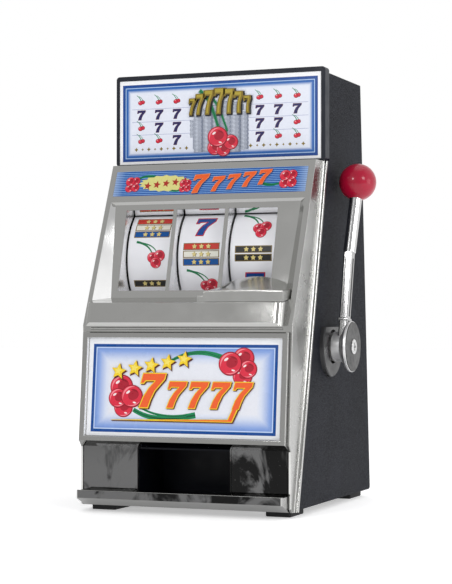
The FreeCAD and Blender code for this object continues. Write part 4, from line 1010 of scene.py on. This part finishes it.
def camera():
    """Long lens from the machine's right front, level with its middle."""
    data = bpy.data.cameras.new("camera")
    data.sensor_width = CAMERA_SENSOR
    data.lens = CAMERA_LENS
    holder = bpy.data.objects.new("camera", data)
    holder.location = CAMERA_PLACE
    holder.rotation_euler = (math.radians(CAMERA_PITCH), 0.0, math.radians(CAMERA_TURN))
    bpy.context.scene.collection.objects.link(holder)
    bpy.context.scene.camera = holder
    bpy.context.scene.view_settings.view_transform = "Standard"


# ---------------------------------------------------------------- assembly
INKS = {name: ink(name, color) for name, color in {
    "cherry_red": rgb(224, 46, 70), "cherry_dark": rgb(150, 16, 38), "cherry_deep": rgb(176, 28, 50),
    "cherry_pink": rgb(248, 138, 150), "cherry_shine": rgb(252, 236, 236),
    "leaf": rgb(16, 138, 84), "leaf_dark": rgb(8, 92, 56),
    "navy": rgb(40, 38, 92), "plum": rgb(108, 34, 66), "reel_blue": rgb(16, 74, 150),
    "seven_red": rgb(196, 34, 52),
    "bar_red": rgb(206, 48, 36), "bar_white": rgb(240, 238, 226), "bar_blue": rgb(0, 84, 160),
    "bar_black": rgb(34, 34, 34), "bar_shadow": rgb(60, 46, 24),
    "gold": rgb(226, 208, 132), "gold_pale": rgb(222, 206, 140), "gold_dark": rgb(126, 104, 50),
    "gold_deep": rgb(134, 112, 30), "gold_bright": rgb(178, 158, 52),
    "line_black": rgb(18, 18, 20), "rule": rgb(150, 158, 200),
    "silver": rgb(182, 188, 202), "silver_dark": rgb(132, 140, 158), "silver_mid": rgb(158, 165, 182),
    "silver_light": rgb(216, 222, 234),
    "burst": rgb(226, 222, 140), "maroon": rgb(176, 50, 40), "orange": rgb(244, 100, 46),
    "orange_pale": rgb(250, 150, 70), "blue_shadow": rgb(40, 60, 120), "yellow": rgb(250, 214, 44),
    "yellow_pale": rgb(252, 232, 110), "shadow_brown": rgb(96, 44, 28)}.items()}
SPRING_STEEL = steel("spring_steel", 0.42, 0.35)


def slot_materials():
    return {
        "cabinet_vinyl": vinyl("black_vinyl"),
        "plated_plastic": chrome("plating", tunnels=True),
        "sign_trim": moulded("sign_trim", rgb(26, 30, 40), 0.42, 700.0, 0.00004, 0.24),
        "printed_panel": bordered("sign_print", SIGN_PRINT_HALF, SIGN_LOW.z + SIGN_PRINT_INSET[0],
                                  SIGN_HIGH.z - SIGN_PRINT_INSET[1], SIGN_BORDER),
        "printed_label": bordered("belly_print", BELLY_PRINT_HALF, *BELLY_PRINT_SPAN, BELLY_BORDER),
        "black_plastic": moulded("black_plastic", rgb(24, 24, 27), 0.5),
        # near-black, far darker than the other black plastics: the tray's own black plus painted shade of
        # its deep mouth
        "tray_plastic": moulded("tray_plastic", rgb(3, 5, 14), 0.35, 900.0, 0.00003, 0.12),
        "foot_rubber": moulded("foot_rubber", rgb(22, 22, 24), 0.75, 400.0, 0.00008),
        "hub_metal": hub_metal("lever_metal", 0.16, 0.66),
        "steel": steel("bright_steel"),
        "screw_steel": steel("screw_steel", 0.66, 0.2, (20, 20, 20)),
        "spring_steel": SPRING_STEEL,
        "knob_red": knob_lacquer("knob_red"),
        "bronze": steel("bronze", 0.5, 0.35),
        "reel_plastic": moulded("reel_plastic", rgb(226, 226, 222), 0.4),
        "reel_strip": strip_paper("reel_strip"),
        "circuit_green": moulded("circuit_green", rgb(18, 92, 48), 0.35),
        "battery_case": moulded("battery_case", rgb(40, 44, 60), 0.3),
    }


def dress_nodes():
    by_slot = slot_materials()
    hub_face = low_high("lever_hub")[1].x - 0.6
    special = {"marquee_label": striped("marquee_print"),
               "lever_hub": hub_metal("hub_face", 0.4, 0.98, hub_face),
               "lever_arm": hub_metal("arm_metal", 0.13, 0.46),
               "lever_boss": moulded("boss_gloss", rgb(14, 15, 18), 0.3, 500.0, 0.00002),
               "coin_entry": chrome("worn_plating", 0.66, 0.35, 0.12),
               # the tray surround's plating carries painted dark reflections on its upright faces
               "tray_surround": chrome("reflection_painted_plating", 0.52, 0.9, painted_reflections=True)}
    for part in frame["record"]["subparts"]:
        node = part["node"]
        piece = frame["nodes"][node]
        material = special.get(node, by_slot[part["material_slot"]])
        for place in piece.material_slots:
            place.material = material


dress_nodes()
for reel in range(len(SIDES)):
    reel_art(reel)
sign = sign_symbols()
sign.join(sign_centre())
print_art(sign, "sign_art", sign_place, "cabinet")
print_art(marquee_art(), "marquee_art", marquee_place, "cabinet")
print_art(belly_art(), "belly_art", belly_place, "cabinet")
spring_coil()
window_shadow_strips()
floor()
surroundings()
for lamp in LAMPS:
    softbox(*lamp)
camera()
